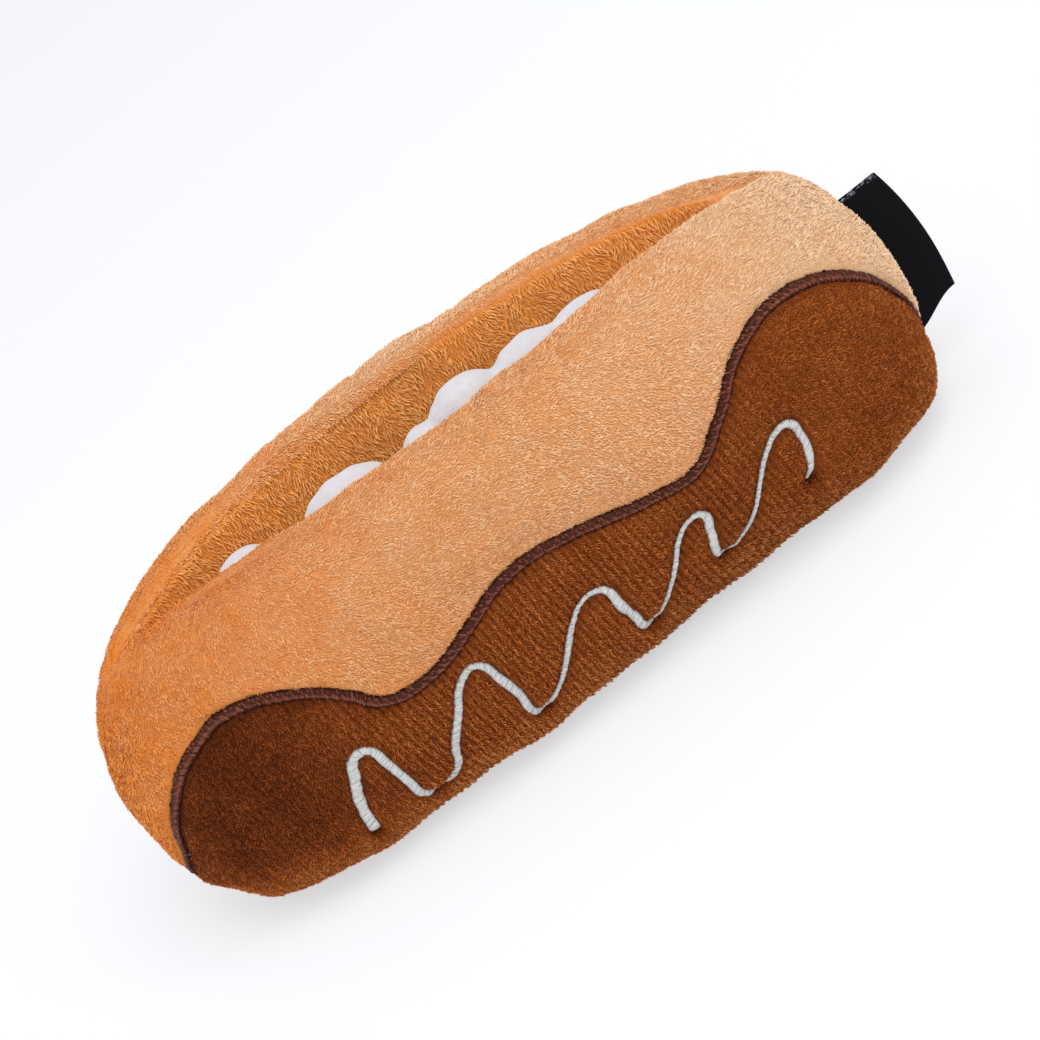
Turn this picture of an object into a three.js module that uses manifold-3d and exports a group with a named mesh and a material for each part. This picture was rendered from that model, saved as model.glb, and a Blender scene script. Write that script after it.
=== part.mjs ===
// A plush éclair for dogs: a long stuffed pouch of tan pile with a chocolate icing panel on
// each side, a drizzle stitched on the icing, and white fleece cream inside its mouth.
// Millimetres. +X runs along the pouch to its label end, -Y is the near side and +Z is up to
// the mouth. The origin is on the table, under the middle of the flat base.
import * as THREE from "three";
import { mergeVertices } from "three/addons/utils/BufferGeometryUtils.js";
import Module from "manifold-3d";

const wasm = await Module();
wasm.setup();

// Outer form
const bodyLength = 220;
const bodyWidth = 73;
const bodyHeight = 82;
const widestHeight = 30;
const floorFlatDepth = 0.5;
const baseSeamWidth = 53;
const baseSeamLength = 204;
const endSeamDraw = 2;
const endSeamDrawWidth = 4;

// Mouth and pocket
const mouthLength = 192;
const crestInset = 14.1;
const lipRadius = 6.5;
const lipDrop = 8;
const pocketLength = 164;
const pocketFloorHeight = 22;

// Cloth and clearances
const coverThickness = 2;
const liningThickness = 1.5;
const filmThickness = 0.4;
const sewnGap = 0.35;
const seamHalfGap = 0.2;
const layerGap = 0.5;
const fillingGap = 0.9;
const seamAllowance = 1.2;
const closingRun = 6;
const padRoundShare = 0.17;

// Stitching
const edgeCordWidth = 3;
const edgeCordHeight = 2.4;
const drizzleWideWidth = 2.5;
const drizzleThinWidth = 1.3;
const drizzleHeight = 1.1;
const drizzleFallShares = [-0.4, 0.6];

// Fleece cream
const creamLength = 128;
const creamThickness = 13;
const creamWallGap = 4.27;
const creamShoulderDrop = 10;
const creamCoverThickness = 2;
const creamEndFullness = 6;
const creamEndPower = 0.5;
const creamTipShare = 0.985;
const creamEndHeightShare = 0.8;

// Squeaker, crinkle film and label
const bulbDiameter = 28;
const bulbThickness = 9;
const bulbHeight = 46;
const bulbFromMiddle = 30;
const bulbFullness = 3;
const whistleDiameter = 9;
const whistleThickness = 3;
const whistleBore = 3;
const filmLength = 116;
const filmTopDrop = 8;
const filmBottomRise = 6;
const labelWidth = 36;
const labelStandOut = 11;
const labelThickness = 0.8;
const labelBow = 1.6;
const labelHeight = 37;

// How full each outline is, as the power of its superellipse: 2 is an ellipse
const lowerFullness = 3.5;
const upperFullness = 2.4;
const sideTopFullness = 3.7;
const sideBottomFullness = 6;
const flankPlanFullness = 5;
const mouthPlanFullness = 2;
const crestRiseFullness = 5;
const ridgeShare = 0.667;
const mouthwardStartShare = 0.5;
const endBulgePower = 0.5;

// Mesh densities
const alongSteps = 44;
const bunSteps = 7;
const icingSteps = 6;
const liningSteps = 20;
const drizzleSteps = 84;
const cordSides = 6;
const fillingSteps = 24;
const fillingRows = 12;
const baseSteps = 28;
const wallRows = 5;
const padSteps = 20;
const creamSteps = 18;
const archSteps = 6;
const lobeSteps = 10;
const lobeRings = 7;
const filmSteps = 16;
const roundSteps = 24;
const whistleSteps = 16;
const bulbSteps = 10;
const profileSteps = 24;
const crownSteps = 36;
const lipSteps = 10;
const labelSteps = 10;

// The icing's wavy edge on one half: shares of half the length, and of the height
const edgeShares = [
  [0, 0.592],
  [0.11, 0.567],
  [0.245, 0.506],
  [0.345, 0.473],
  [0.427, 0.485],
  [0.482, 0.537],
  [0.536, 0.61],
  [0.618, 0.676],
  [0.71, 0.704],
  [0.764, 0.704],
  [0.818, 0.67],
  [0.882, 0.584],
  [0.936, 0.47],
  [0.964, 0.293],
  [0.985, 0.2],
];

// The drizzle from its left end: shares of half the length, and of the height
const drizzleShares = [
  [-0.613, 0.154],
  [-0.605, 0.26],
  [-0.582, 0.35],
  [-0.558, 0.404],
  [-0.527, 0.399],
  [-0.509, 0.325],
  [-0.497, 0.256],
  [-0.466, 0.136],
  [-0.404, 0.14],
  [-0.367, 0.236],
  [-0.327, 0.313],
  [-0.277, 0.392],
  [-0.236, 0.41],
  [-0.209, 0.325],
  [-0.195, 0.248],
  [-0.185, 0.156],
  [-0.155, 0.154],
  [-0.121, 0.179],
  [-0.084, 0.226],
  [-0.045, 0.284],
  [-0.015, 0.327],
  [0.023, 0.365],
  [0.055, 0.371],
  [0.082, 0.355],
  [0.091, 0.284],
  [0.102, 0.226],
  [0.109, 0.167],
  [0.13, 0.158],
  [0.164, 0.176],
  [0.2, 0.229],
  [0.236, 0.288],
  [0.273, 0.343],
  [0.318, 0.369],
  [0.345, 0.362],
  [0.338, 0.298],
  [0.324, 0.236],
  [0.325, 0.203],
  [0.35, 0.194],
  [0.395, 0.223],
  [0.441, 0.277],
  [0.487, 0.34],
  [0.536, 0.409],
  [0.573, 0.441],
  [0.607, 0.438],
  [0.614, 0.381],
  [0.604, 0.312],
  [0.586, 0.265],
  [0.564, 0.233],
  [0.527, 0.19],
  [0.491, 0.157],
];

// Cream lobes: shares of half the cream's length, of its thickness and of the body height
const creamLobeShares = [
  [-0.84, 0.44, 0.885],
  [-0.6, 0.5, 0.91],
  [-0.34, 0.56, 0.93],
  [-0.1, 0.5, 0.91],
  [0.13, 0.64, 0.955],
  [0.4, 0.58, 0.93],
  [0.63, 0.52, 0.92],
  [0.85, 0.44, 0.895],
];
const creamLobeLengthShare = 1.45;

const halfLength = bodyLength / 2;
const halfWidth = bodyWidth / 2;
const crestHalf = halfWidth - crestInset;
const mouthHalf = mouthLength / 2;
const pocketHalf = pocketLength / 2;
const baseSeamHalf = baseSeamWidth / 2;
const baseSeamEnd = baseSeamLength / 2;
const lowerDrop = widestHeight + floorFlatDepth;
const upperRise = bodyHeight - widestHeight;
const quarterTurn = Math.PI / 2;
const tinyShare = 1e-3;

// A point on a quarter of a superellipse: angle 0 lies on its first axis
function quarterPoint(angle, across, up, fullness) {
  const power = 2 / fullness;
  return [across * Math.cos(angle) ** power, up * Math.sin(angle) ** power];
}

// The angle at which that quarter is a share of the way out along its first axis
function angleAt(share, fullness) {
  return Math.acos(share ** (fullness / 2));
}

function spread(count) {
  return Array.from({ length: count + 1 }, (_, step) => step / count);
}

function mix(from, to, share) {
  return from + (to - from) * share;
}

function smooth(low, high, value) {
  return THREE.MathUtils.smoothstep(value, low, high);
}

function clothCurve(points) {
  const curve = new THREE.CatmullRomCurve3(points, false, "centripetal");
  curve.arcLengthDivisions = 600;
  return curve;
}

// The cross-section of one side at the middle: from the base seam round the flank to the crest
const flankPoints = [];
const seamAngle = angleAt(baseSeamHalf / halfWidth, lowerFullness);
for (const share of spread(profileSteps)) {
  const angle = seamAngle * (1 - share);
  const [y, drop] = quarterPoint(angle, halfWidth, lowerDrop, lowerFullness);
  flankPoints.push(new THREE.Vector3(0, y, widestHeight - drop));
}
for (const share of spread(crownSteps).slice(1)) {
  const angle = quarterTurn * Math.min(share, 1 - tinyShare);
  const [out, rise] = quarterPoint(angle, halfWidth - crestHalf, upperRise, upperFullness);
  flankPoints.push(new THREE.Vector3(0, crestHalf + out, widestHeight + rise));
}
const crestCount = flankPoints.length;
for (const share of spread(lipSteps).slice(1)) {
  const turn = quarterTurn * ridgeShare * share;
  const y = crestHalf - lipRadius * Math.sin(turn);
  flankPoints.push(new THREE.Vector3(0, y, bodyHeight - lipDrop * (1 - Math.cos(turn))));
}
const middleSection = clothCurve(flankPoints);
const crestShare =
  clothCurve(flankPoints.slice(0, crestCount)).getLength() / middleSection.getLength();
const ridgePoint = flankPoints.at(-1);

// The end seam from the base to the mouth's corner, and on down between the lips
const endPoints = [];
const baseEndAngle = angleAt(baseSeamEnd / halfLength, sideBottomFullness);
for (const share of spread(profileSteps)) {
  const angle = baseEndAngle * (1 - share);
  const [x, drop] = quarterPoint(angle, halfLength, lowerDrop, sideBottomFullness);
  endPoints.push(new THREE.Vector3(x, 0, widestHeight - drop));
}
const mouthEndAngle = angleAt(mouthHalf / halfLength, sideTopFullness);
for (const share of spread(profileSteps).slice(1)) {
  const [x, rise] = quarterPoint(mouthEndAngle * share, halfLength, upperRise, sideTopFullness);
  endPoints.push(new THREE.Vector3(x, 0, widestHeight + rise));
}
const endSeam = clothCurve(endPoints);
const mouthCorner = endPoints.at(-1);
const pocketCorner = new THREE.Vector3(
  pocketHalf,
  0,
  mouthCorner.z + (bodyHeight - mouthCorner.z) / 2 - (bodyHeight - ridgePoint.z),
);

function endPoint(up) {
  if (up <= crestShare) {
    return endSeam.getPointAt(up / crestShare);
  }
  const inward = (up - crestShare) / (1 - crestShare);
  return mouthCorner.clone().lerp(pocketCorner, inward);
}

// The end seams draw the cloth in
function settled(point) {
  const near = Math.exp(-((point.y / endSeamDrawWidth) ** 2));
  const far = smooth(baseSeamEnd - lipRadius, halfLength - endSeamDraw, Math.abs(point.x));
  point.x -= Math.sign(point.x) * endSeamDraw * near * far;
  return point;
}

// The far side's outer skin: across runs from -1 to 1 between the end seams, and up from the
// base seam to the ridge inside the mouth
function skinPoint(across, up) {
  const middle = middleSection.getPointAt(up);
  const end = endPoint(up);
  const along = Math.min(Math.abs(across), 1);
  const mouthward = smooth(mouthwardStartShare * crestShare, crestShare, up);
  const fullness = mix(flankPlanFullness, mouthPlanFullness, mouthward);
  const bulge = (1 - along ** fullness) ** mix(endBulgePower, 1, mouthward);
  const rise = 1 - along ** crestRiseFullness;
  return settled(
    new THREE.Vector3(
      end.x * across,
      mix(seamHalfGap, middle.y, bulge),
      mix(end.z, middle.z, rise),
    ),
  );
}

function skinNormal(across, up) {
  const step = tinyShare;
  const left = skinPoint(Math.max(across - step, -1), up);
  const right = skinPoint(Math.min(across + step, 1), up);
  const low = skinPoint(across, Math.max(up - step, 0));
  const high = skinPoint(across, Math.min(up + step, 1));
  return high.sub(low).cross(right.sub(left)).normalize();
}

// A point under the skin by a depth, or above it where the depth is negative
function layerPoint(across, up, depth) {
  const point = skinPoint(across, up).addScaledVector(skinNormal(across, up), -depth);
  point.y = Math.max(point.y, seamHalfGap);
  return point;
}

// Columns crowd towards the end seams, where the cloth turns in
function column(share) {
  return Math.sin(quarterTurn * (2 * share - 1));
}

const edgeCurve = new THREE.CubicInterpolant(
  edgeShares.map(([along]) => along * halfLength),
  edgeShares.map(([, high]) => high * bodyHeight),
  1,
);

// How far up the skin a height is, in the column at across
function upAtHeight(across, heightAt) {
  let low = 0;
  let high = crestShare;
  for (let turn = 0; turn < 30; turn += 1) {
    const trial = (low + high) / 2;
    const point = skinPoint(across, trial);
    if (point.z < heightAt(Math.abs(point.x))) {
      low = trial;
    } else {
      high = trial;
    }
  }
  return (low + high) / 2;
}

function upAtEdge(across) {
  return upAtHeight(across, (x) => edgeCurve.evaluate(x)[0]);
}

// The share of up that stands for a distance square to the edge, where the edge slants
function shareBesideEdge(across, distance) {
  const left = Math.max(across - tinyShare, -1);
  const right = Math.min(across + tinyShare, 1);
  const edge = upAtEdge(across);
  const along = skinPoint(right, upAtEdge(right)).sub(skinPoint(left, upAtEdge(left)));
  const climb = skinPoint(across, edge + tinyShare).sub(skinPoint(across, edge - tinyShare));
  const slant = along.normalize().cross(climb).length();
  return (2 * tinyShare * distance) / slant;
}

// Across and up for a place given by its length and height on the skin
function placeOnSkin(x, z) {
  let across = x / halfLength;
  let up = 0;
  for (let turn = 0; turn < 12; turn += 1) {
    up = upAtHeight(across, () => z);
    across = THREE.MathUtils.clamp(x / endPoint(up).x, -1, 1);
  }
  return [across, up];
}

// Turns positions and triangles into a geometry whose faces point out
function closedGeometry(points, triangles) {
  const geometry = new THREE.BufferGeometry();
  const positions = points.flatMap((point) => point.toArray());
  geometry.setAttribute("position", new THREE.Float32BufferAttribute(positions, 3));
  let volume = 0;
  for (let start = 0; start < triangles.length; start += 3) {
    const [a, b, c] = triangles.slice(start, start + 3).map((index) => points[index]);
    volume += a.dot(b.clone().cross(c));
  }
  geometry.setIndex(volume < 0 ? [...triangles].reverse() : triangles);
  return mergeVertices(geometry, sewnGap * tinyShare);
}

function gridTriangles(rows, columns, first, turned) {
  const triangles = [];
  for (let row = 0; row < rows; row += 1) {
    for (let place = 0; place < columns; place += 1) {
      const a = first + row * (columns + 1) + place;
      const b = a + columns + 1;
      const quad = [a, b, a + 1, a + 1, b, b + 1];
      triangles.push(...(turned ? quad.reverse() : quad));
    }
  }
  return triangles;
}

// A sheet with an outer and an inner face, closed round its four sides
function sheetGeometry(outer, inner) {
  const rows = outer.length - 1;
  const columns = outer[0].length - 1;
  const size = (rows + 1) * (columns + 1);
  const triangles = [
    ...gridTriangles(rows, columns, 0, false),
    ...gridTriangles(rows, columns, size, true),
  ];
  const rim = [];
  for (let place = 0; place <= columns; place += 1) {
    rim.push(place);
  }
  for (let row = 1; row <= rows; row += 1) {
    rim.push(row * (columns + 1) + columns);
  }
  for (let place = columns - 1; place >= 0; place -= 1) {
    rim.push(rows * (columns + 1) + place);
  }
  for (let row = rows - 1; row > 0; row -= 1) {
    rim.push(row * (columns + 1));
  }
  rim.forEach((a, index) => {
    const b = rim[(index + 1) % rim.length];
    triangles.push(a, b, a + size, b, b + size, a + size);
  });
  return closedGeometry([...outer.flat(), ...inner.flat()], triangles);
}

// Two faces that share one rim, like the two sides of a pillow
function pillowGeometry(front, back) {
  const rows = front.length - 1;
  const columns = front[0].length - 1;
  const size = (rows + 1) * (columns + 1);
  const triangles = [
    ...gridTriangles(rows, columns, 0, false),
    ...gridTriangles(rows, columns, size, true),
  ];
  return closedGeometry([...front.flat(), ...back.flat()], triangles);
}

// Rings joined end to end, with a flat cap on each end
function loftGeometry(rings) {
  const count = rings[0].length;
  const points = rings.flat();
  const triangles = [];
  for (let ring = 0; ring < rings.length - 1; ring += 1) {
    for (let place = 0; place < count; place += 1) {
      const next = (place + 1) % count;
      const a = ring * count + place;
      const b = ring * count + next;
      triangles.push(a, b, a + count, b, b + count, a + count);
    }
  }
  const last = (rings.length - 1) * count;
  for (let place = 1; place < count - 1; place += 1) {
    triangles.push(0, place + 1, place);
    triangles.push(last, last + place, last + place + 1);
  }
  return closedGeometry(points, triangles);
}

function grid(columnShares, rowShares, pointAt) {
  return rowShares.map((row) => columnShares.map((share) => pointAt(share, row)));
}

// Booleans on solids
function solidOf(geometry) {
  const bare = new THREE.BufferGeometry();
  bare.setAttribute("position", geometry.getAttribute("position"));
  bare.setIndex(geometry.getIndex());
  const merged = mergeVertices(bare, sewnGap * tinyShare);
  return new wasm.Manifold(
    new wasm.Mesh({
      numProp: 3,
      vertProperties: new Float32Array(merged.getAttribute("position").array),
      triVerts: new Uint32Array(merged.getIndex().array),
    }),
  );
}

function geometryOf(solid) {
  const mesh = solid.getMesh();
  const geometry = new THREE.BufferGeometry();
  geometry.setAttribute("position", new THREE.BufferAttribute(mesh.vertProperties, 3));
  geometry.setIndex(new THREE.BufferAttribute(mesh.triVerts, 1));
  return geometry;
}

// Covers
function bunPanel() {
  const shares = spread(alongSteps);
  const clear = edgeCordWidth / 2 + sewnGap;
  const face = (depth) =>
    grid(shares, spread(bunSteps), (share, row) => {
      const across = column(share);
      const edge = upAtEdge(across) + shareBesideEdge(across, clear);
      return layerPoint(across, mix(edge, 1, row), depth);
    });
  return sheetGeometry(face(0), face(coverThickness));
}

function icingPanel() {
  const shares = spread(alongSteps);
  const clear = edgeCordWidth / 2 + sewnGap;
  const face = (depth) =>
    grid(shares, spread(icingSteps), (share, row) => {
      const across = column(share);
      const edge = upAtEdge(across) - shareBesideEdge(across, clear);
      return layerPoint(across, edge * row, depth);
    });
  return sheetGeometry(face(0), face(coverThickness));
}

// A stitched cord on the skin: its places are across and up, with a width at each
function stitchedCord(places, height, lift) {
  const centres = places.map(([across, up]) => layerPoint(across, up, -lift));
  const rings = places.map(([across, up, width], index) => {
    const before = centres[Math.max(index - 1, 0)];
    const after = centres[Math.min(index + 1, centres.length - 1)];
    const forward = after.clone().sub(before).normalize();
    const out = skinNormal(across, up);
    const sideways = forward.clone().cross(out).normalize();
    out.crossVectors(sideways, forward).normalize();
    return spread(cordSides)
      .slice(1)
      .map((share) => {
        const angle = 4 * quarterTurn * share;
        const point = centres[index].clone();
        point.addScaledVector(sideways, (Math.cos(angle) * width) / 2);
        point.addScaledVector(out, (Math.sin(angle) * height) / 2);
        point.y = Math.max(point.y, seamHalfGap);
        return point;
      });
  });
  return loftGeometry(rings);
}

function icingEdge() {
  const places = spread(alongSteps).map((share) => {
    const across = column(share);
    return [across, upAtEdge(across), edgeCordWidth];
  });
  return stitchedCord(places, edgeCordHeight, 0);
}

// The wide legs of the drizzle run down and the thin ones up, on either side
function drizzle(turned) {
  const sign = turned ? -1 : 1;
  const route = new THREE.CatmullRomCurve3(
    drizzleShares.map(([along, high]) => {
      return new THREE.Vector3(along * halfLength, 0, high * bodyHeight);
    }),
    false,
    "centripetal",
  );
  const places = spread(drizzleSteps).map((share) => {
    const point = route.getPointAt(share);
    const falling = smooth(...drizzleFallShares, -route.getTangentAt(share).z);
    const [across, up] = placeOnSkin(sign * point.x, point.z);
    return [across, up, mix(drizzleThinWidth, drizzleWideWidth, falling)];
  });
  return stitchedCord(places, drizzleHeight, drizzleHeight / 2 + sewnGap);
}

// Half the pocket's width at a length, at the ridge inside the mouth
function pocketHalfWidth(x) {
  const along = Math.min(Math.abs(x) / pocketHalf, 1);
  return mix(seamHalfGap, ridgePoint.y, 1 - along ** mouthPlanFullness);
}

function ridgeHeight(x) {
  const along = Math.min(Math.abs(x) / pocketHalf, 1);
  return mix(ridgePoint.z, pocketCorner.z, along ** crestRiseFullness);
}

// Lining: a strip down the pocket's wall, and on across its floor where it has one
function liningSection(x, withFloor) {
  const half = pocketHalfWidth(x);
  const tuck = skinNormal(x / pocketHalf, 1).z * coverThickness;
  const top = ridgeHeight(x) - tuck - sewnGap;
  const wall = spread(wallRows).map((share) => {
    return new THREE.Vector2(half, mix(top, pocketFloorHeight, share));
  });
  if (!withFloor) {
    return wall;
  }
  const across = half - sewnGap;
  const floor = [0.5, 0, -0.5, -1].map((side) => {
    return new THREE.Vector2(across * side, pocketFloorHeight);
  });
  return [...wall, ...floor];
}

// The same line moved square to itself, mitred at its corners
function offsetLine(line, distance) {
  return line.map((point, index) => {
    const before = line[Math.max(index - 1, 0)];
    const after = line[Math.min(index + 1, line.length - 1)];
    const normals = [
      [before, point],
      [point, after],
    ]
      .filter(([from, to]) => from !== to)
      .map(([from, to]) => {
        const along = to.clone().sub(from).normalize();
        return new THREE.Vector2(-along.y, along.x);
      });
    const normal = normals[0].clone().add(normals.at(-1)).normalize();
    return point.clone().addScaledVector(normal, distance / normal.dot(normals[0]));
  });
}

function liningPanel(withFloor) {
  const reach = pocketHalf - liningThickness;
  const face = (distance) =>
    spread(liningSteps).map((share) => {
      const x = reach * (2 * share - 1);
      const line = offsetLine(liningSection(x, withFloor), distance);
      return line.map((point) => new THREE.Vector3(x, point.x, point.y));
    });
  return sheetGeometry(face(0), face(liningThickness));
}

// Wall filling: a long pillow between the cover and the lining
function wallFilling(liningRoom) {
  const shares = spread(fillingSteps);
  const rows = spread(fillingRows);
  const depth = coverThickness + fillingGap;
  const front = grid(shares, rows, (share, row) => {
    const point = layerPoint(column(share), row, depth);
    point.y = Math.max(point.y, seamAllowance);
    return point;
  });
  const middle = shares.length >> 1;
  const lowest = front[0][middle].z;
  const bottomShare = rows[1];
  const back = front.map((line, index) => {
    const row = rows[index];
    if (row === 0 || row === 1) {
      return line.map((point) => point.clone());
    }
    const climb = (row - bottomShare) / (1 - bottomShare);
    const height = mix(lowest, front.at(-1)[middle].z, climb);
    return line.map((point, place) => {
      const across = column(shares[place]);
      if (Math.abs(across) === 1) {
        return point.clone();
      }
      const end = line.at(-1);
      const x = end.x * across;
      const face = pocketHalfWidth(x) + liningRoom;
      const closing = smooth(pocketHalf, pocketHalf + closingRun, Math.abs(x));
      const rise = 1 - Math.abs(across) ** crestRiseFullness;
      return new THREE.Vector3(x, mix(face, seamAllowance, closing), mix(end.z, height, rise));
    });
  });
  return pillowGeometry(front, back);
}

// Base: a boat-shaped panel that stands flat, with a wadding pad over it
function basePoint(share, side, depth) {
  const reach = 1 - coverThickness / baseSeamEnd;
  const across = column(share) * reach;
  const seam = skinPoint(across, 0);
  const half = seam.y - sewnGap;
  const curl = Math.abs(side) ** lowerFullness;
  const along = Math.abs(seam.x) / halfLength;
  const keel = (1 - along ** sideBottomFullness) ** (1 / sideBottomFullness);
  const height = Math.max(0, mix(widestHeight - lowerDrop * keel, seam.z, curl));
  const point = new THREE.Vector3(seam.x, half * side, height);
  const outward = skinNormal(across, 0);
  outward.y *= Math.sign(side);
  outward.lerp(new THREE.Vector3(0, 0, -1), 1 - curl).normalize();
  return point.addScaledVector(outward, -depth);
}

function basePanel() {
  const sideShares = [-1, -0.88, -0.74, -0.58, 0, 0.58, 0.74, 0.88, 1];
  const face = (depth) =>
    spread(baseSteps).map((share) => sideShares.map((side) => basePoint(share, side, depth)));
  return sheetGeometry(face(0), face(coverThickness));
}

function baseWadding() {
  const low = coverThickness + layerGap;
  const high = pocketFloorHeight - liningThickness - layerGap;
  const reach = pocketHalf - liningThickness;
  const rings = spread(padSteps).map((share) => {
    const x = reach * (2 * share - 1);
    const half = pocketHalfWidth(x) + liningThickness;
    const soft = (high - low) * padRoundShare;
    return [
      new THREE.Vector3(x, -half, low + soft),
      new THREE.Vector3(x, -half, high - soft),
      new THREE.Vector3(x, -half + soft / 2, high),
      new THREE.Vector3(x, half - soft / 2, high),
      new THREE.Vector3(x, half, high - soft),
      new THREE.Vector3(x, half, low + soft),
      new THREE.Vector3(x, half - soft / 2, low),
      new THREE.Vector3(x, -half + soft / 2, low),
    ];
  });
  return loftGeometry(rings);
}

// The cream lies nearer the near wall, and runs into the pocket's middle at its ends
function creamMiddle(x) {
  const offset = ridgePoint.y - creamWallGap - creamThickness / 2;
  return -offset * (1 - ((2 * x) / creamLength) ** 2);
}

// Fleece cream: a bolster on the pocket floor with whipped lobes along its top
function creamBolster(inset, bottom) {
  const reach = creamLength / 2 - inset;
  const top = bodyHeight - creamShoulderDrop - inset;
  const rings = spread(creamSteps).map((share) => {
    const along = creamTipShare * column(share);
    const plump = (1 - Math.abs(along) ** creamEndFullness) ** creamEndPower;
    const half = (creamThickness / 2 - inset) * plump;
    const middle = creamMiddle(reach * along);
    const shoulder = mix(bottom, top, mix(creamEndHeightShare, 1, plump));
    const arch = Math.min(half, shoulder - bottom);
    return [
      [-1, bottom],
      ...spread(archSteps).map((turn) => {
        const angle = 2 * quarterTurn * turn;
        return [-Math.cos(angle), shoulder - arch + arch * Math.sin(angle)];
      }),
      [1, bottom],
    ].map(([side, z]) => {
      return new THREE.Vector3(reach * along, middle + half * side, z);
    });
  });
  return loftGeometry(rings);
}

function creamCover() {
  const floor = pocketFloorHeight + sewnGap;
  let solid = solidOf(creamBolster(0, floor));
  for (const [along, fat, high] of creamLobeShares) {
    const radius = creamThickness * fat;
    const lobe = new THREE.SphereGeometry(1, lobeSteps, lobeRings);
    lobe.deleteAttribute("normal");
    lobe.deleteAttribute("uv");
    lobe.scale(radius * creamLobeLengthShare, radius, radius);
    const x = (along * creamLength) / 2;
    lobe.translate(x, creamMiddle(x), high * bodyHeight - radius);
    solid = solid.add(solidOf(lobe));
  }
  const hollow = creamBolster(creamCoverThickness, floor - creamCoverThickness);
  return geometryOf(solid.subtract(solidOf(hollow)));
}

function creamFilling() {
  const inset = creamCoverThickness + sewnGap;
  return creamBolster(inset, pocketFloorHeight + sewnGap);
}

// Squeaker: a flat bulb in a recess of the near filling, with its whistle on the pocket side
const whistleInner = pocketHalfWidth(bulbFromMiddle - whistleDiameter / 2);
const bulbFace = whistleInner + liningThickness + layerGap;
const bulbMiddle = bulbFace + whistleThickness + sewnGap + bulbThickness / 2;

function turnedProfile(points, steps) {
  const lathe = new THREE.LatheGeometry(points, steps);
  lathe.deleteAttribute("normal");
  lathe.deleteAttribute("uv");
  return lathe;
}

function bulbProfile(extra) {
  const radius = bulbDiameter / 2 + extra;
  const half = bulbThickness / 2 + extra;
  return spread(bulbSteps).map((share) => {
    const angle = quarterTurn * Math.abs(2 * share - 1);
    const [high, out] = quarterPoint(angle, 1, 1, bulbFullness);
    return new THREE.Vector2(high * radius, Math.sign(2 * share - 1) * out * half);
  });
}

function seatSqueaker(geometry, y) {
  return geometry.translate(0, y, 0).translate(-bulbFromMiddle, 0, bulbHeight);
}

function squeakerBulb() {
  return seatSqueaker(turnedProfile(bulbProfile(0), roundSteps), bulbMiddle);
}

function squeakerWhistle() {
  const outer = whistleDiameter / 2;
  const bore = whistleBore / 2;
  const half = whistleThickness / 2;
  const ring = [
    new THREE.Vector2(bore, -half),
    new THREE.Vector2(outer, -half),
    new THREE.Vector2(outer, half),
    new THREE.Vector2(bore, half),
    new THREE.Vector2(bore, -half),
  ];
  return seatSqueaker(turnedProfile(ring, whistleSteps), bulbFace + half);
}

function nearFilling() {
  const room = liningThickness + layerGap;
  const recess = seatSqueaker(turnedProfile(bulbProfile(layerGap), roundSteps), bulbMiddle);
  const mouthRadius = bulbDiameter / 2 + layerGap;
  const mouth = new THREE.CylinderGeometry(mouthRadius, mouthRadius, bulbMiddle, roundSteps);
  mouth.deleteAttribute("normal");
  mouth.deleteAttribute("uv");
  seatSqueaker(mouth, bulbMiddle / 2);
  const cut = solidOf(recess).add(solidOf(mouth));
  return geometryOf(solidOf(wallFilling(room)).subtract(cut));
}

// Crinkle film between the far filling and the far lining
const filmRoom = liningThickness + sewnGap + filmThickness + sewnGap + sewnGap;

function crinkleFilm() {
  const near = liningThickness + sewnGap;
  const heights = [pocketFloorHeight + filmBottomRise, ridgePoint.z - filmTopDrop];
  const face = (extra) =>
    spread(filmSteps).map((share) => {
      const x = (filmLength / 2) * (2 * share - 1);
      const y = pocketHalfWidth(x) + near + extra;
      return heights.map((z) => new THREE.Vector3(x, y, z));
    });
  return sheetGeometry(face(0), face(filmThickness));
}

// Label: a folded woven strip that stands out of the end seam
function wovenLabel() {
  const half = labelWidth / 2;
  const root = endPoint(placeOnSkin(halfLength, labelHeight)[1]).x - endSeamDraw;
  const start = root + sewnGap * 2;
  const outline = new THREE.Shape();
  outline.moveTo(start, -half);
  outline.lineTo(start + labelStandOut - labelBow, -half + labelBow);
  outline.quadraticCurveTo(
    start + labelStandOut + labelBow,
    0,
    start + labelStandOut - labelBow,
    half - labelBow,
  );
  outline.lineTo(start, half);
  outline.closePath();
  const geometry = new THREE.ExtrudeGeometry(outline, {
    depth: labelThickness,
    bevelEnabled: false,
    curveSegments: labelSteps,
  });
  geometry.deleteAttribute("normal");
  geometry.deleteAttribute("uv");
  geometry.rotateX(quarterTurn);
  return geometry.translate(0, labelThickness / 2, labelHeight);
}

// Materials
function cloth(colour, roughness) {
  return new THREE.MeshStandardMaterial({ color: colour, roughness, metalness: 0 });
}

const tanPile = cloth("#e3b183", 0.95);
const orangePile = cloth("#cf8444", 0.95);
const chocolatePile = cloth("#7a3d1c", 0.95);
const edgeThread = cloth("#3f1c14", 0.5);
const silverThread = cloth("#dcdad2", 0.45);
const whiteFleece = cloth("#e9e6ea", 1);
const fibreFill = cloth("#f2f0ea", 1);
const satinWeave = cloth("#101216", 0.4);
const squeakerPlastic = cloth("#f4f4f0", 0.4);
const crinklePlastic = cloth("#d9dde0", 0.25);

// Each piece of a side is made for the far side, and mirrored for the near one
function onNearSide(geometry) {
  const mirrored = geometry.clone().scale(1, -1, 1);
  const index = mirrored.getIndex();
  if (index) {
    mirrored.setIndex([...index.array].reverse());
  }
  return mirrored;
}

const eclair = new THREE.Group();
const nearHalf = new THREE.Group();
const farHalf = new THREE.Group();
eclair.add(nearHalf, farHalf);

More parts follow.
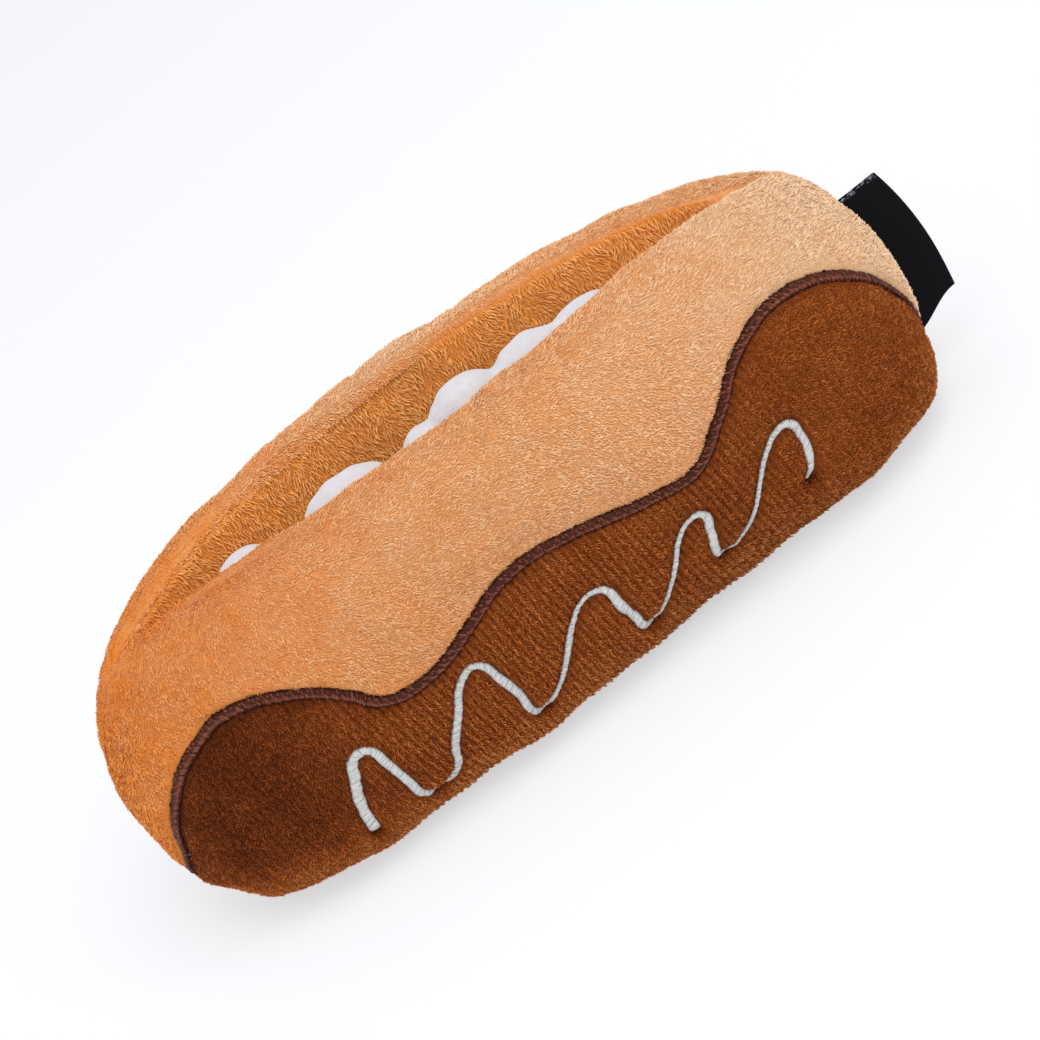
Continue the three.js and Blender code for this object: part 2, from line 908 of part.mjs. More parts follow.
function addPiece(group, name, geometry, material) {
  const mesh = new THREE.Mesh(geometry, material);
  mesh.name = name;
  group.add(mesh);
}

addPiece(nearHalf, "near_bun_panel", onNearSide(bunPanel()), tanPile);
addPiece(nearHalf, "near_icing_panel", onNearSide(icingPanel()), chocolatePile);
addPiece(nearHalf, "near_icing_edge", onNearSide(icingEdge()), edgeThread);
addPiece(nearHalf, "near_drizzle", onNearSide(drizzle(false)), silverThread);
addPiece(nearHalf, "near_pocket_lining", onNearSide(liningPanel(true)), orangePile);
addPiece(nearHalf, "near_wall_filling", onNearSide(nearFilling()), fibreFill);
addPiece(nearHalf, "squeaker_bulb", onNearSide(squeakerBulb()), squeakerPlastic);
addPiece(nearHalf, "squeaker_whistle", onNearSide(squeakerWhistle()), squeakerPlastic);
addPiece(nearHalf, "base_panel", basePanel(), chocolatePile);
addPiece(nearHalf, "base_wadding", baseWadding(), fibreFill);
addPiece(nearHalf, "cream_cover", creamCover(), whiteFleece);
addPiece(nearHalf, "cream_filling", creamFilling(), fibreFill);
addPiece(nearHalf, "woven_label", wovenLabel(), satinWeave);

addPiece(farHalf, "far_bun_panel", bunPanel(), tanPile);
addPiece(farHalf, "far_icing_panel", icingPanel(), chocolatePile);
addPiece(farHalf, "far_icing_edge", icingEdge(), edgeThread);
addPiece(farHalf, "far_drizzle", drizzle(true), silverThread);
addPiece(farHalf, "far_pocket_lining", liningPanel(false), orangePile);
addPiece(farHalf, "far_wall_filling", wallFilling(filmRoom), fibreFill);
addPiece(farHalf, "crinkle_film", crinkleFilm(), crinklePlastic);

export default eclair;
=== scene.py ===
import math

import bmesh
import bpy
import numpy as np
from mathutils import Matrix, Vector


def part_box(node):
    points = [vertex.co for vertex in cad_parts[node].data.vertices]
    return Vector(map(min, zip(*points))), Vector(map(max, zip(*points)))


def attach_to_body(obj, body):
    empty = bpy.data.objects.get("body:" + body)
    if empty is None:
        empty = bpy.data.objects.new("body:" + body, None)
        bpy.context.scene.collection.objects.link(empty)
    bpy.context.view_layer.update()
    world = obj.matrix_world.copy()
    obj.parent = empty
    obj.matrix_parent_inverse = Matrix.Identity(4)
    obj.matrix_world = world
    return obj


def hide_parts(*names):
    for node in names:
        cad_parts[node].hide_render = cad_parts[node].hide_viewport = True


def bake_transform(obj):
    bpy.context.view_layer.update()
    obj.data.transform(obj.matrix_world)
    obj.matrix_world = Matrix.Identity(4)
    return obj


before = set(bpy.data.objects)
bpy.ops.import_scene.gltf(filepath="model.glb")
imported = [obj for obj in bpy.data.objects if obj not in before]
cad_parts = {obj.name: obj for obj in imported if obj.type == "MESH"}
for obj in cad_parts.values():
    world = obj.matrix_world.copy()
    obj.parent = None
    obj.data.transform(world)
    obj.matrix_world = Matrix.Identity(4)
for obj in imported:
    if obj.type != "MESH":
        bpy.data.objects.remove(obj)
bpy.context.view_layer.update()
print("frame loaded:", len(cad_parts), "nodes")

# Sizes are in metres. The long axis is X, the near side -Y, and the mouth opens upwards
pouch = {
    "halfLength": 0.110,
    "halfWidth": -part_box("near_icing_panel")[0].y,
    "height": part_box("near_bun_panel")[1].z,
    "widestHeight": 0.030,
    "floorFlat": 0.0005,
    "baseSeamHalf": 0.0265,
    "baseSeamEnd": 0.102,
    "mouthHalf": 0.096,
    "crestInset": 0.0141,
    "lipRadius": 0.0065,
    "lipDrop": 0.008,
    "pocketHalf": 0.082,
    "pocketFloor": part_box("far_pocket_lining")[0].z,
    "seamDraw": 0.002,
    "seamDrawWidth": 0.004,
    "seamGap": 0.0002,
}
sides = {"near": 1, "far": -1}


def linear(hexColour):
    parts = [int(hexColour[place:place + 2], 16) / 255 for place in (1, 3, 5)]
    return [part / 12.92 if part <= 0.04045 else ((part + 0.055) / 1.055) ** 2.4 for part in parts] + [1]


def addNode(tree, kind, settings=None, links=None):
    node = tree.nodes.new(kind)
    for name, value in (settings or {}).items():
        if isinstance(name, str) and hasattr(node, name):
            setattr(node, name, value)
        else:
            node.inputs[name].default_value = value
    for name, source in (links or {}).items():
        tree.links.new(source, node.inputs[name])
    return node


def ramp(tree, stops, source):
    node = addNode(tree, "ShaderNodeValToRGB", {}, {0: source})
    elements = node.color_ramp.elements
    for element, (position, colour) in zip((elements[0], elements[1]), (stops[0], stops[-1])):
        element.position = position
        element.color = linear(colour)
    for position, colour in stops[1:-1]:
        elements.new(position).color = linear(colour)
    return node.outputs[0]


def newMaterial(name):
    material = bpy.data.materials.new(name)
    material.use_nodes = True
    material.node_tree.nodes.clear()
    return material, material.node_tree


# Camera: the photograph's view, from 30 degrees up, rolled so that the label end rises
view = {
    "target": (0, 0, 0.041),
    "elevation": 30,
    "roll": 37.0,
    "distance": 0.573,
    "lens": 85,
    "sensor": 36,
    "imageSize": 1040,
    "targetPixel": (500, 515.8),
}


def makeCamera():
    up = math.radians(view["elevation"])
    roll = math.radians(view["roll"])
    level = Vector((1, 0, 0))
    upright = Vector((0, math.sin(up), math.cos(up)))
    back = Vector((0, -math.cos(up), math.sin(up)))
    right = level * math.cos(roll) - upright * math.sin(roll)
    above = level * math.sin(roll) + upright * math.cos(roll)
    place = Vector(view["target"]) + back * view["distance"]
    data = bpy.data.cameras.new("photoCamera")
    data.lens = view["lens"]
    data.sensor_width = view["sensor"]
    middle = view["imageSize"] / 2
    data.shift_x = (middle - view["targetPixel"][0]) / view["imageSize"]
    data.shift_y = (view["targetPixel"][1] - middle) / view["imageSize"]
    data.clip_start = 0.01
    camera = bpy.data.objects.new("photoCamera", data)
    rotation = Matrix((right, above, back)).transposed().to_4x4()
    camera.matrix_world = Matrix.Translation(place) @ rotation
    bpy.context.scene.collection.objects.link(camera)
    bpy.context.scene.camera = camera


makeCamera()
print("camera placed")

# Studio: a white table, a big soft lamp above the near right, and a weak fill from the left
studio = {
    "floorHalf": 3.0,
    "keyPower": 6.5,
    "keySize": 0.9,
    "keyPlace": (0.35, -0.45, 0.95),
    "fillPower": 3.0,
    "fillSize": 1.2,
    "fillPlace": (-0.9, -0.5, 0.5),
    "skyStrength": 0.78,
    "shadowShare": 0.42,
}


def softLamp(name, place, power, size):
    data = bpy.data.lights.new(name, "AREA")
    data.energy = power
    data.size = size
    lamp = bpy.data.objects.new(name, data)
    lamp.location = place
    lamp.rotation_euler = (Vector(place) - Vector(view["target"])).to_track_quat("Z", "Y").to_euler()
    bpy.context.scene.collection.objects.link(lamp)


def whitePaper():
    # Matt white paper: the camera sees it as near white, with a share of its own shadow kept
    material, tree = newMaterial("whitePaper")
    matt = addNode(tree, "ShaderNodeBsdfDiffuse", {"Color": linear("#f5f6fa")})
    glow = addNode(tree, "ShaderNodeEmission", {"Color": linear("#ffffff"), "Strength": 1.0})
    path = addNode(tree, "ShaderNodeLightPath")
    shown = addNode(tree, "ShaderNodeMixShader", {0: studio["shadowShare"]},
                    {1: glow.outputs[0], 2: matt.outputs[0]})
    mixed = addNode(tree, "ShaderNodeMixShader", {}, {
        0: path.outputs["Is Camera Ray"], 1: matt.outputs[0], 2: shown.outputs[0]})
    addNode(tree, "ShaderNodeOutputMaterial", {}, {"Surface": mixed.outputs[0]})
    return material


def makeStudio():
    softLamp("keyLamp", studio["keyPlace"], studio["keyPower"], studio["keySize"])
    softLamp("fillLamp", studio["fillPlace"], studio["fillPower"], studio["fillSize"])
    world = bpy.data.worlds.new("studioWorld")
    bpy.context.scene.world = world
    world.use_nodes = True
    tree = world.node_tree
    tree.nodes.clear()
    path = addNode(tree, "ShaderNodeLightPath")
    light = addNode(tree, "ShaderNodeBackground", {
        "Color": linear("#f4f6ff"), "Strength": studio["skyStrength"]})
    shown = addNode(tree, "ShaderNodeBackground", {"Color": (1, 1, 1, 1), "Strength": 1.0})
    mixed = addNode(tree, "ShaderNodeMixShader", {}, {
        0: path.outputs["Is Camera Ray"], 1: light.outputs[0], 2: shown.outputs[0]})
    addNode(tree, "ShaderNodeOutputWorld", {}, {"Surface": mixed.outputs[0]})
    bm = bmesh.new()
    bmesh.ops.create_grid(bm, x_segments=1, y_segments=1, size=studio["floorHalf"])
    mesh = bpy.data.meshes.new("table")
    bm.to_mesh(mesh)
    bm.free()
    floor = bpy.data.objects.new("table", mesh)
    bpy.context.scene.collection.objects.link(floor)
    mesh.materials.append(whitePaper())
    bpy.context.scene.view_settings.view_transform = "Standard"


makeStudio()
print("studio lit")


# The stuffed form, as the far half: across runs between the end seams, up from base seam over the crest
def smooth(low, high, value):
    share = np.clip((value - low) / (high - low), 0, 1)
    return share * share * (3 - 2 * share)


def mix(low, high, share):
    return low + (high - low) * share


def quarter(angle, across, up, fullness):
    return across * np.cos(angle) ** (2 / fullness), up * np.sin(angle) ** (2 / fullness)


def measured(points):
    steps = np.linalg.norm(np.diff(points, axis=0), axis=1)
    run = np.concatenate([[0], np.cumsum(steps)])
    return run / run[-1], points, run[-1]


def pointAlong(line, share):
    return np.stack([np.interp(share, line[0], line[1][:, axis]) for axis in range(3)], -1)


outline = {
    "lowerFullness": 3.5,
    "upperFullness": 2.4,
    "sideTopFullness": 3.7,
    "sideBottomFullness": 6,
    "flankPlanFullness": 5,
    "mouthPlanFullness": 2,
    "crestRiseFullness": 5,
    "ridgeShare": 0.667,
    "flankPower": 0.5,
    "mouthwardFrom": 0.5,
    "steps": 240,
}
lowerDrop = pouch["widestHeight"] + pouch["floorFlat"]
upperRise = pouch["height"] - pouch["widestHeight"]
crestHalf = pouch["halfWidth"] - pouch["crestInset"]


def middleLine():
    steps = outline["steps"]
    start = math.acos((pouch["baseSeamHalf"] / pouch["halfWidth"]) ** (outline["lowerFullness"] / 2))
    out, drop = quarter(np.linspace(start, 0, steps), pouch["halfWidth"], lowerDrop, outline["lowerFullness"])
    flank = np.stack([0 * out, out, pouch["widestHeight"] - drop], -1)
    turn = np.linspace(0, math.pi / 2 - 1e-4, steps)[1:]
    out, rise = quarter(turn, pouch["crestInset"], upperRise, outline["upperFullness"])
    crown = np.stack([0 * out, crestHalf + out, pouch["widestHeight"] + rise], -1)
    turn = np.linspace(0, math.pi / 2 * outline["ridgeShare"], steps)[1:]
    lipOut = crestHalf - pouch["lipRadius"] * np.sin(turn)
    lip = np.stack([0 * turn, lipOut, pouch["height"] - pouch["lipDrop"] * (1 - np.cos(turn))], -1)
    toCrest = measured(np.concatenate([flank, crown]))[2]
    whole = measured(np.concatenate([flank, crown, lip]))
    return whole, toCrest / whole[2]


def endLine():
    steps = outline["steps"]
    start = math.acos((pouch["baseSeamEnd"] / pouch["halfLength"]) ** (outline["sideBottomFullness"] / 2))
    turn = np.linspace(start, 0, steps)
    out, drop = quarter(turn, pouch["halfLength"], lowerDrop, outline["sideBottomFullness"])
    lower = np.stack([out, 0 * out, pouch["widestHeight"] - drop], -1)
    stop = math.acos((pouch["mouthHalf"] / pouch["halfLength"]) ** (outline["sideTopFullness"] / 2))
    turn = np.linspace(0, stop, steps)[1:]
    out, rise = quarter(turn, pouch["halfLength"], upperRise, outline["sideTopFullness"])
    upper = np.stack([out, 0 * out, pouch["widestHeight"] + rise], -1)
    return measured(np.concatenate([lower, upper]))


middle, crestShare = middleLine()
seam = endLine()
ridge = middle[1][-1]
mouthCorner = seam[1][-1]
cornerDrop = (pouch["height"] - mouthCorner[2]) / 2 - (pouch["height"] - ridge[2])
pocketCorner = np.array([pouch["pocketHalf"], 0, mouthCorner[2] + cornerDrop])


def skin(across, up):
    centre = pointAlong(middle, up)
    inward = np.clip((up - crestShare) / (1 - crestShare), 0, 1)[..., None]
    end = mix(pointAlong(seam, np.minimum(up / crestShare, 1)), pocketCorner, inward)
    side = np.minimum(np.abs(across), 1)
    mouthward = smooth(outline["mouthwardFrom"] * crestShare, crestShare, up)
    bulge = 1 - side ** mix(outline["flankPlanFullness"], outline["mouthPlanFullness"], mouthward)
    bulge = bulge ** mix(outline["flankPower"], 1, mouthward)
    rise = 1 - side ** outline["crestRiseFullness"]
    x = end[..., 0] * across
    y = mix(pouch["seamGap"], centre[..., 1], bulge)
    z = mix(end[..., 2], centre[..., 2], rise)
    near = np.exp(-((y / pouch["seamDrawWidth"]) ** 2))
    low, high = pouch["baseSeamEnd"] - pouch["lipRadius"], pouch["halfLength"] - pouch["seamDraw"]
    x = x - np.sign(x) * pouch["seamDraw"] * near * smooth(low, high, np.abs(x))
    return np.stack([x, y, z], -1)


tiny = 1e-3
atSeam = 0.9999


def unit(vectors):
    return vectors / np.maximum(np.linalg.norm(vectors, axis=-1, keepdims=True), 1e-12)


def tangents(across, up):
    run = skin(np.minimum(across + tiny, 1), up) - skin(np.maximum(across - tiny, -1), up)
    climb = skin(across, np.minimum(up + tiny, 1)) - skin(across, np.maximum(up - tiny, 0))
    return unit(run), unit(climb)


# The icing's wavy edge and the drizzle, as shares of half the length and of the height, read off the photo
edgeShares = [
    (-0.985, 0.24), (-0.962, 0.331), (-0.875, 0.57), (-0.765, 0.689), (-0.665, 0.726), (-0.549, 0.681),
    (-0.464, 0.591), (-0.41, 0.506), (-0.31, 0.478), (-0.186, 0.529), (-0.055, 0.589), (0.074, 0.574),
    (0.278, 0.502), (0.375, 0.495), (0.466, 0.579), (0.598, 0.706), (0.736, 0.71), (0.865, 0.606),
    (0.944, 0.436), (0.98, 0.244), (0.988, 0.2),
]
drizzleShares = [
    (-0.597, 0.156), (-0.584, 0.269), (-0.556, 0.358), (-0.53, 0.414), (-0.501, 0.408), (-0.487, 0.339),
    (-0.479, 0.269), (-0.455, 0.141), (-0.393, 0.147), (-0.354, 0.251), (-0.312, 0.326), (-0.264, 0.403),
    (-0.223, 0.42), (-0.199, 0.339), (-0.188, 0.262), (-0.179, 0.164), (-0.151, 0.163), (-0.118, 0.191),
    (-0.081, 0.237), (-0.043, 0.295), (-0.014, 0.337), (0.022, 0.374), (0.053, 0.38), (0.079, 0.363),
    (0.087, 0.292), (0.097, 0.234), (0.105, 0.175), (0.126, 0.163), (0.159, 0.184), (0.193, 0.235),
    (0.227, 0.295), (0.262, 0.349), (0.304, 0.374), (0.33, 0.366), (0.324, 0.303), (0.312, 0.242),
    (0.314, 0.208), (0.339, 0.197), (0.381, 0.226), (0.425, 0.278), (0.466, 0.341), (0.512, 0.405),
    (0.546, 0.432), (0.579, 0.426), (0.587, 0.371), (0.58, 0.304), (0.565, 0.26), (0.552, 0.238),
]
# Where along that list the thread turns up again, and the stitch's width at places along it
drizzleValleys = [0, 7.3, 15.7, 27.0, 36.4, 47]
drizzleWidths = [
    (0, 0.0032), (3, 0.0031), (4, 0.0025), (7, 0.0025), (9, 0.0024), (12, 0.0021), (13, 0.0026),
    (16, 0.0022), (17, 0.0013), (19, 0.0019), (21, 0.0013), (22, 0.0016), (24, 0.0028), (26, 0.0024),
    (27.5, 0.0011), (30, 0.0015), (32, 0.0014), (33.5, 0.0026), (35.5, 0.0024), (37, 0.0010),
    (40, 0.0013), (42, 0.0017), (43.5, 0.0026), (45, 0.0024), (46, 0.0016), (47, 0.0008),
]
# How finely those lists are traced, and how often the search for a place on the skin is narrowed
tracing = {"edgeSteps": 600, "drizzleSteps": 900, "halvings": 24, "rounds": 8}


def throughPoints(points, count):
    curve = bpy.data.curves.new("guide", "CURVE")
    curve.dimensions = "3D"
    spline = curve.splines.new("BEZIER")
    spline.bezier_points.add(len(points) - 1)
    for knot, point in zip(spline.bezier_points, points):
        knot.co = point
        knot.handle_left_type = knot.handle_right_type = "AUTO"
    spline.resolution_u = 12
    guide = bpy.data.objects.new("guide", curve)
    bpy.context.scene.collection.objects.link(guide)
    mesh = guide.to_mesh()
    dots = np.array([vertex.co for vertex in mesh.vertices])
    guide.to_mesh_clear()
    bpy.data.objects.remove(guide)
    line = measured(dots)
    shares = np.linspace(0, 1, count)
    places = np.linspace(0, len(points) - 1, len(dots))
    return pointAlong(line, shares), np.interp(shares, line[0], places)


def routeOf(shares, count):
    points = [(along * pouch["halfLength"], 0, high * pouch["height"]) for along, high in shares]
    return throughPoints(points, count)


edgeRoute = routeOf(edgeShares, tracing["edgeSteps"])[0]


def edgeHeight(x):
    return np.interp(x, edgeRoute[:, 0], edgeRoute[:, 2])


def upAtHeight(across, heightAt):
    low, high = np.zeros_like(across), np.full_like(across, crestShare)
    for _ in range(tracing["halvings"]):
        trial = (low + high) / 2
        point = skin(across, trial)
        below = point[..., 2] < heightAt(point[..., 0])
        low, high = np.where(below, trial, low), np.where(below, high, trial)
    return (low + high) / 2


def upAtEdge(across):
    return upAtHeight(across, edgeHeight)


def placeOnSkin(x, z):
    across = x / pouch["halfLength"]
    for _ in range(tracing["rounds"]):
        up = upAtHeight(across, lambda _: z)
        end = pointAlong(seam, np.minimum(up / crestShare, 1))
        across = np.clip(x / end[..., 0], -1, 1)
    return across, up


drizzleRoute, drizzlePlaces = routeOf(drizzleShares, tracing["drizzleSteps"])
drizzleAcross, drizzleUp = placeOnSkin(drizzleRoute[:, 0], drizzleRoute[:, 2])
drizzleWidth = np.interp(drizzlePlaces, *zip(*drizzleWidths))

# Puffing: the near cover as one light cloth, held at its seams and along its stitching, is blown up
puff = {
    "columns": 200,
    "rows": 104,
    "scale": 8.0,
    "mass": 0.01,
    "pressure": 20.0,
    "slack": 0.008,
    "stiffness": 15,
    "bending": 0.3,
    "frames": 24,
    "most": 0.0022,
    "sewnReach": 0.0013,
    "stitchHeldShare": 0.8,
    "stitchDepth": 0.0011,
    "edgeDepth": 0.0006,
    "heldAbove": 0.97,
    "heldBeyond": 0.995,
    "railSteps": 160,
    "stitchSkip": 4,
    "quality": 6,
}


def nearest(points, line):
    best = np.full(len(points), 1.0)
    for dot in line:
        best = np.minimum(best, np.linalg.norm(points - dot, axis=-1))
    return best


def puffedRelief():
    field = np.zeros((puff["rows"] + 1, puff["columns"] + 1, 3))
    bm = bmesh.new()
    bmesh.ops.create_grid(bm, x_segments=puff["columns"], y_segments=puff["rows"], size=1)
    mesh = bpy.data.meshes.new("nearCover")
    bm.to_mesh(mesh)
    bm.free()
    flat = np.empty(len(mesh.vertices) * 3)
    mesh.vertices.foreach_get("co", flat)
    square = flat.reshape(-1, 3)[:, :2].copy()
    across, up = np.sin(math.pi / 2 * square[:, 0]), (square[:, 1] + 1) / 2
    rest = skin(across, up)
    rail = np.sin(math.pi / 2 * np.linspace(-1, 1, puff["railSteps"]))
    toEdge = nearest(rest, skin(rail, upAtEdge(rail)))
    toStitch = nearest(rest, skin(drizzleAcross, drizzleUp)[::puff["stitchSkip"]])
    run, climb = tangents(across, up)
    out = unit(np.cross(climb, run))
    sunk = puff["stitchDepth"] * np.exp(-((toStitch / puff["sewnReach"]) ** 2))
    sunk = sunk + puff["edgeDepth"] * np.exp(-((toEdge / puff["sewnReach"]) ** 2))
    mesh.vertices.foreach_set("co", ((rest - out * sunk[:, None]) * puff["scale"]).ravel())
    mesh.update()
    face = mesh.polygons[len(mesh.polygons) // 2]
    if face.normal.dot(Vector(out[face.vertices[0]])) < 0:
        mesh.flip_normals()
    cover = bpy.data.objects.new("nearCover", mesh)
    bpy.context.scene.collection.objects.link(cover)
    held = (toEdge < puff["sewnReach"]) | (toStitch < puff["stitchHeldShare"] * puff["sewnReach"])
    held |= (up < tiny) | (up > puff["heldAbove"]) | (np.abs(square[:, 0]) > puff["heldBeyond"])
    pins = cover.vertex_groups.new(name="sewn")
    pins.add([int(place) for place in np.flatnonzero(held)], 1.0, "REPLACE")
    cloth = cover.modifiers.new("cloth", "CLOTH")
    settings = cloth.settings
    settings.quality = puff["quality"]
    settings.mass = puff["mass"]
    settings.vertex_group_mass = "sewn"
    settings.tension_stiffness = settings.compression_stiffness = puff["stiffness"]
    settings.shear_stiffness = puff["stiffness"] / 2
    settings.bending_stiffness = puff["bending"]
    settings.use_pressure = True
    settings.uniform_pressure_force = puff["pressure"]
    settings.shrink_min = settings.shrink_max = -puff["slack"]
    settings.effector_weights.gravity = 0
    cloth.collision_settings.use_collision = False
    cloth.collision_settings.use_self_collision = False
    cloth.point_cache.frame_start = 1
    cloth.point_cache.frame_end = puff["frames"]
    for step in range(1, puff["frames"] + 1):
        bpy.context.scene.frame_set(step)
    blown = cover.evaluated_get(bpy.context.evaluated_depsgraph_get()).data
    blown.vertices.foreach_get("co", flat)
    moved = flat.reshape(-1, 3) / puff["scale"] - rest
    length = np.linalg.norm(moved, axis=1, keepdims=True)
    print("puffed by up to", round(float(length.max()) * 1000, 2), "mm, mean",
          round(float(length.mean()) * 1000, 2))
    moved = moved * np.minimum(1, puff["most"] / np.maximum(length, 1e-9))
    bpy.data.objects.remove(cover)
    bpy.context.scene.frame_set(1)
    return moved.reshape(field.shape)


puffField = puffedRelief()


def puffAt(across, up):
    column = (np.arcsin(np.clip(across, -1, 1)) / (math.pi / 2) + 1) / 2 * puff["columns"]
    row = np.clip(up, 0, 1) * puff["rows"]
    left = np.minimum(column.astype(int), puff["columns"] - 1)
    low = np.minimum(row.astype(int), puff["rows"] - 1)
    right, high = (column - left)[..., None], (row - low)[..., None]
    below = mix(puffField[low, left], puffField[low, left + 1], right)
    above = mix(puffField[low + 1, left], puffField[low + 1, left + 1], right)
    return mix(below, above, high)


# Relief that the cloth doesn't give: stuffing lumps, pinches below the stitching, drawn-in lower corners,
# and a near hem that wanders and lifts off the table. A From or Heights pair is where it starts and is full
relief = {
    "lump": 0.00035,
    "lumpLength": 0.034,
    "lumpFrom": (0, 0.02),
    "pinch": 0.0018,
    "pinchReach": 0.0021,
    "pinchDrop": 0.0016,
    "pinchFrom": (0.008, 0.022),
    # The pinches' colour is darkened by this much, as painted shadow
    "pinchShade": 0.55,
    "gather": 0.0030,
    "gatherReach": 0.0028,
    "gatherHeight": 0.0035,
    "farCrest": [(-0.080, 0), (-0.052, 0.0008), (-0.036, 0.0006), (-0.010, 0.0018), (0.002, 0.0013),
                 (0.012, 0.0009), (0.028, -0.0002), (0.051, -0.0002), (0.070, -0.0012), (0.095, 0.0003)],
    "farCrestHeights": (0.045, 0.070),
    "nearHem": [(-0.104, 0), (-0.082, 0.0005), (-0.060, -0.0005), (-0.037, -0.0013), (-0.018, 0.0010),
                (-0.003, -0.0010), (0.010, -0.0004), (0.022, -0.0016), (0.034, -0.0023), (0.055, -0.0017),
                (0.067, -0.0010), (0.083, 0.0005), (0.100, 0)],
    "nearHemHeights": (0.024, 0.008),
    "nearHemWidth": 0.0035,
    "hemLift": [(-0.050, 0), (-0.037, 0.0010), (-0.024, 0), (-0.010, 0), (0.001, 0.0007), (0.010, 0.0001),
                (0.020, 0.0008), (0.034, 0.0019), (0.046, 0.0010), (0.055, 0.0015), (0.067, 0.0008),
                (0.080, 0)],
    "hemLiftHeights": (0.024, 0.006),
    "rightDraw": (0.0024, 0.014, 0.010),
    "leftDraw": (0.0028, 0.009, 0.0068),
    "drawFrom": (0.094, 0.107),
    "endSwell": 0.0007,
    "endSwellFrom": (-0.085, -0.104),
    "endSwellHeights": (0.012, 0.028),
    "dimples": [((0.0985, 0.027, 0.0165), 0.0032, 0.0022), ((-0.1035, 0.0190, 0.0100), 0.0066, 0.0020)],
    "endCrease": 0.0042,
    "endCreaseReach": 0.0032,
    "endCreaseFrom": (-0.085, -0.097),
    "endCreaseHeights": (0.035, 0.055),
}
drizzleTable = np.array(drizzleShares) * [pouch["halfLength"], pouch["height"]]
pinches = [[np.interp(place, range(len(drizzleTable)), drizzleTable[:, axis]) for axis in (0, 1)]
           for place in drizzleValleys]


def pinched(x, z):
    # How near the foot of a stitched valley a place is: 1 at the pinch and 0 away from it
    near = 0 * x
    for along, high in pinches:
        away = np.hypot(x - along, z - high + relief["pinchDrop"])
        near = np.maximum(near, np.exp(-((away / relief["pinchReach"]) ** 2)))
    return near


def liftedHem(x):
    return np.interp(x, *zip(*relief["hemLift"]))


def softness(points, side):
    x, y, z = points[..., 0] * side, points[..., 1], points[..., 2]
    # Stuffing lumps: crossed waves of unlike lengths, so that none repeats
    wave = 2 * math.pi / relief["lumpLength"]
    lump = np.sin(wave * x + 1.3 * side) * np.sin(wave * 0.7 * z + 0.6)
    lump = lump + 0.6 * np.sin(wave * 1.7 * x + z * wave * 0.9 + 2)
    push = relief["lump"] * lump * smooth(*relief["lumpFrom"], y)
    push = push - relief["pinch"] * pinched(x, z) * smooth(*relief["pinchFrom"], y)
    if side < 0:
        crest = np.interp(points[..., 0], *zip(*relief["farCrest"]))
        return push + crest * smooth(*relief["farCrestHeights"], z)
    hem = smooth(*relief["nearHemHeights"], z)
    hem = hem * smooth(pouch["baseSeamHalf"], pouch["baseSeamHalf"] + relief["nearHemWidth"], y)
    push = push + np.interp(x, *zip(*relief["nearHem"])) * hem
    for place, reach, deep in relief["dimples"]:
        away = np.linalg.norm(points - place, axis=-1)
        push = push - deep * np.exp(-((away / reach) ** 2))
    return push


def dressed(across, up, depth, side):
    # Points of the soft cover so deep under its surface, with their outward, run and climb directions
    bare = skin(across, up)
    run, climb = tangents(across, up)
    out = unit(np.cross(climb, run))
    points = bare + out * (softness(bare, side) - depth)[..., None]
    points = points + puffAt(side * across, up) * [side, 1, 1]
    corner = np.abs(bare) - [pouch["baseSeamEnd"], 0, relief["gatherHeight"]]
    away = np.linalg.norm(corner, axis=-1)
    gathered = np.exp(-((away / relief["gatherReach"]) ** 2))
    points[..., 0] -= np.sign(bare[..., 0]) * relief["gather"] * gathered
    drawIn = 0
    for way, (amount, height, reach) in ((1, relief["rightDraw"]), (-1, relief["leftDraw"])):
        drawn = np.exp(-(((bare[..., 2] - height) / reach) ** 2))
        drawn = drawn * smooth(*relief["drawFrom"], way * bare[..., 0])
        drawIn = drawIn + amount * drawn
    crease = np.exp(-((bare[..., 1] / relief["endCreaseReach"]) ** 2))
    crease = crease * smooth(*relief["endCreaseFrom"], bare[..., 0])
    crease = crease * smooth(*relief["endCreaseHeights"], bare[..., 2])
    swollen = smooth(*relief["endSwellFrom"], bare[..., 0]) * smooth(*relief["endSwellHeights"], bare[..., 2])
    drawIn = drawIn + relief["endCrease"] * crease - relief["endSwell"] * swollen
    points[..., 0] -= np.sign(bare[..., 0]) * drawIn
    if side > 0:
        points[..., 2] += liftedHem(bare[..., 0]) * smooth(*relief["hemLiftHeights"], bare[..., 2])
    points[..., 1] = np.where(np.abs(across) > atSeam, 0, np.maximum(points[..., 1], 0))
    flip = np.array([1, -side, 1])
    return points * flip, out * flip, run * flip, climb * flip


# The share of its bake map that a cloth fills, which leaves a margin at the map's edges
mapShare = 0.98


def addAttribute(mesh, name, values):
    kind, key = ("FLOAT", "value") if values.ndim == 1 else ("FLOAT_VECTOR", "vector")
    mesh.attributes.new(name, kind, "POINT").data.foreach_set(key, values.ravel().astype(np.float32))


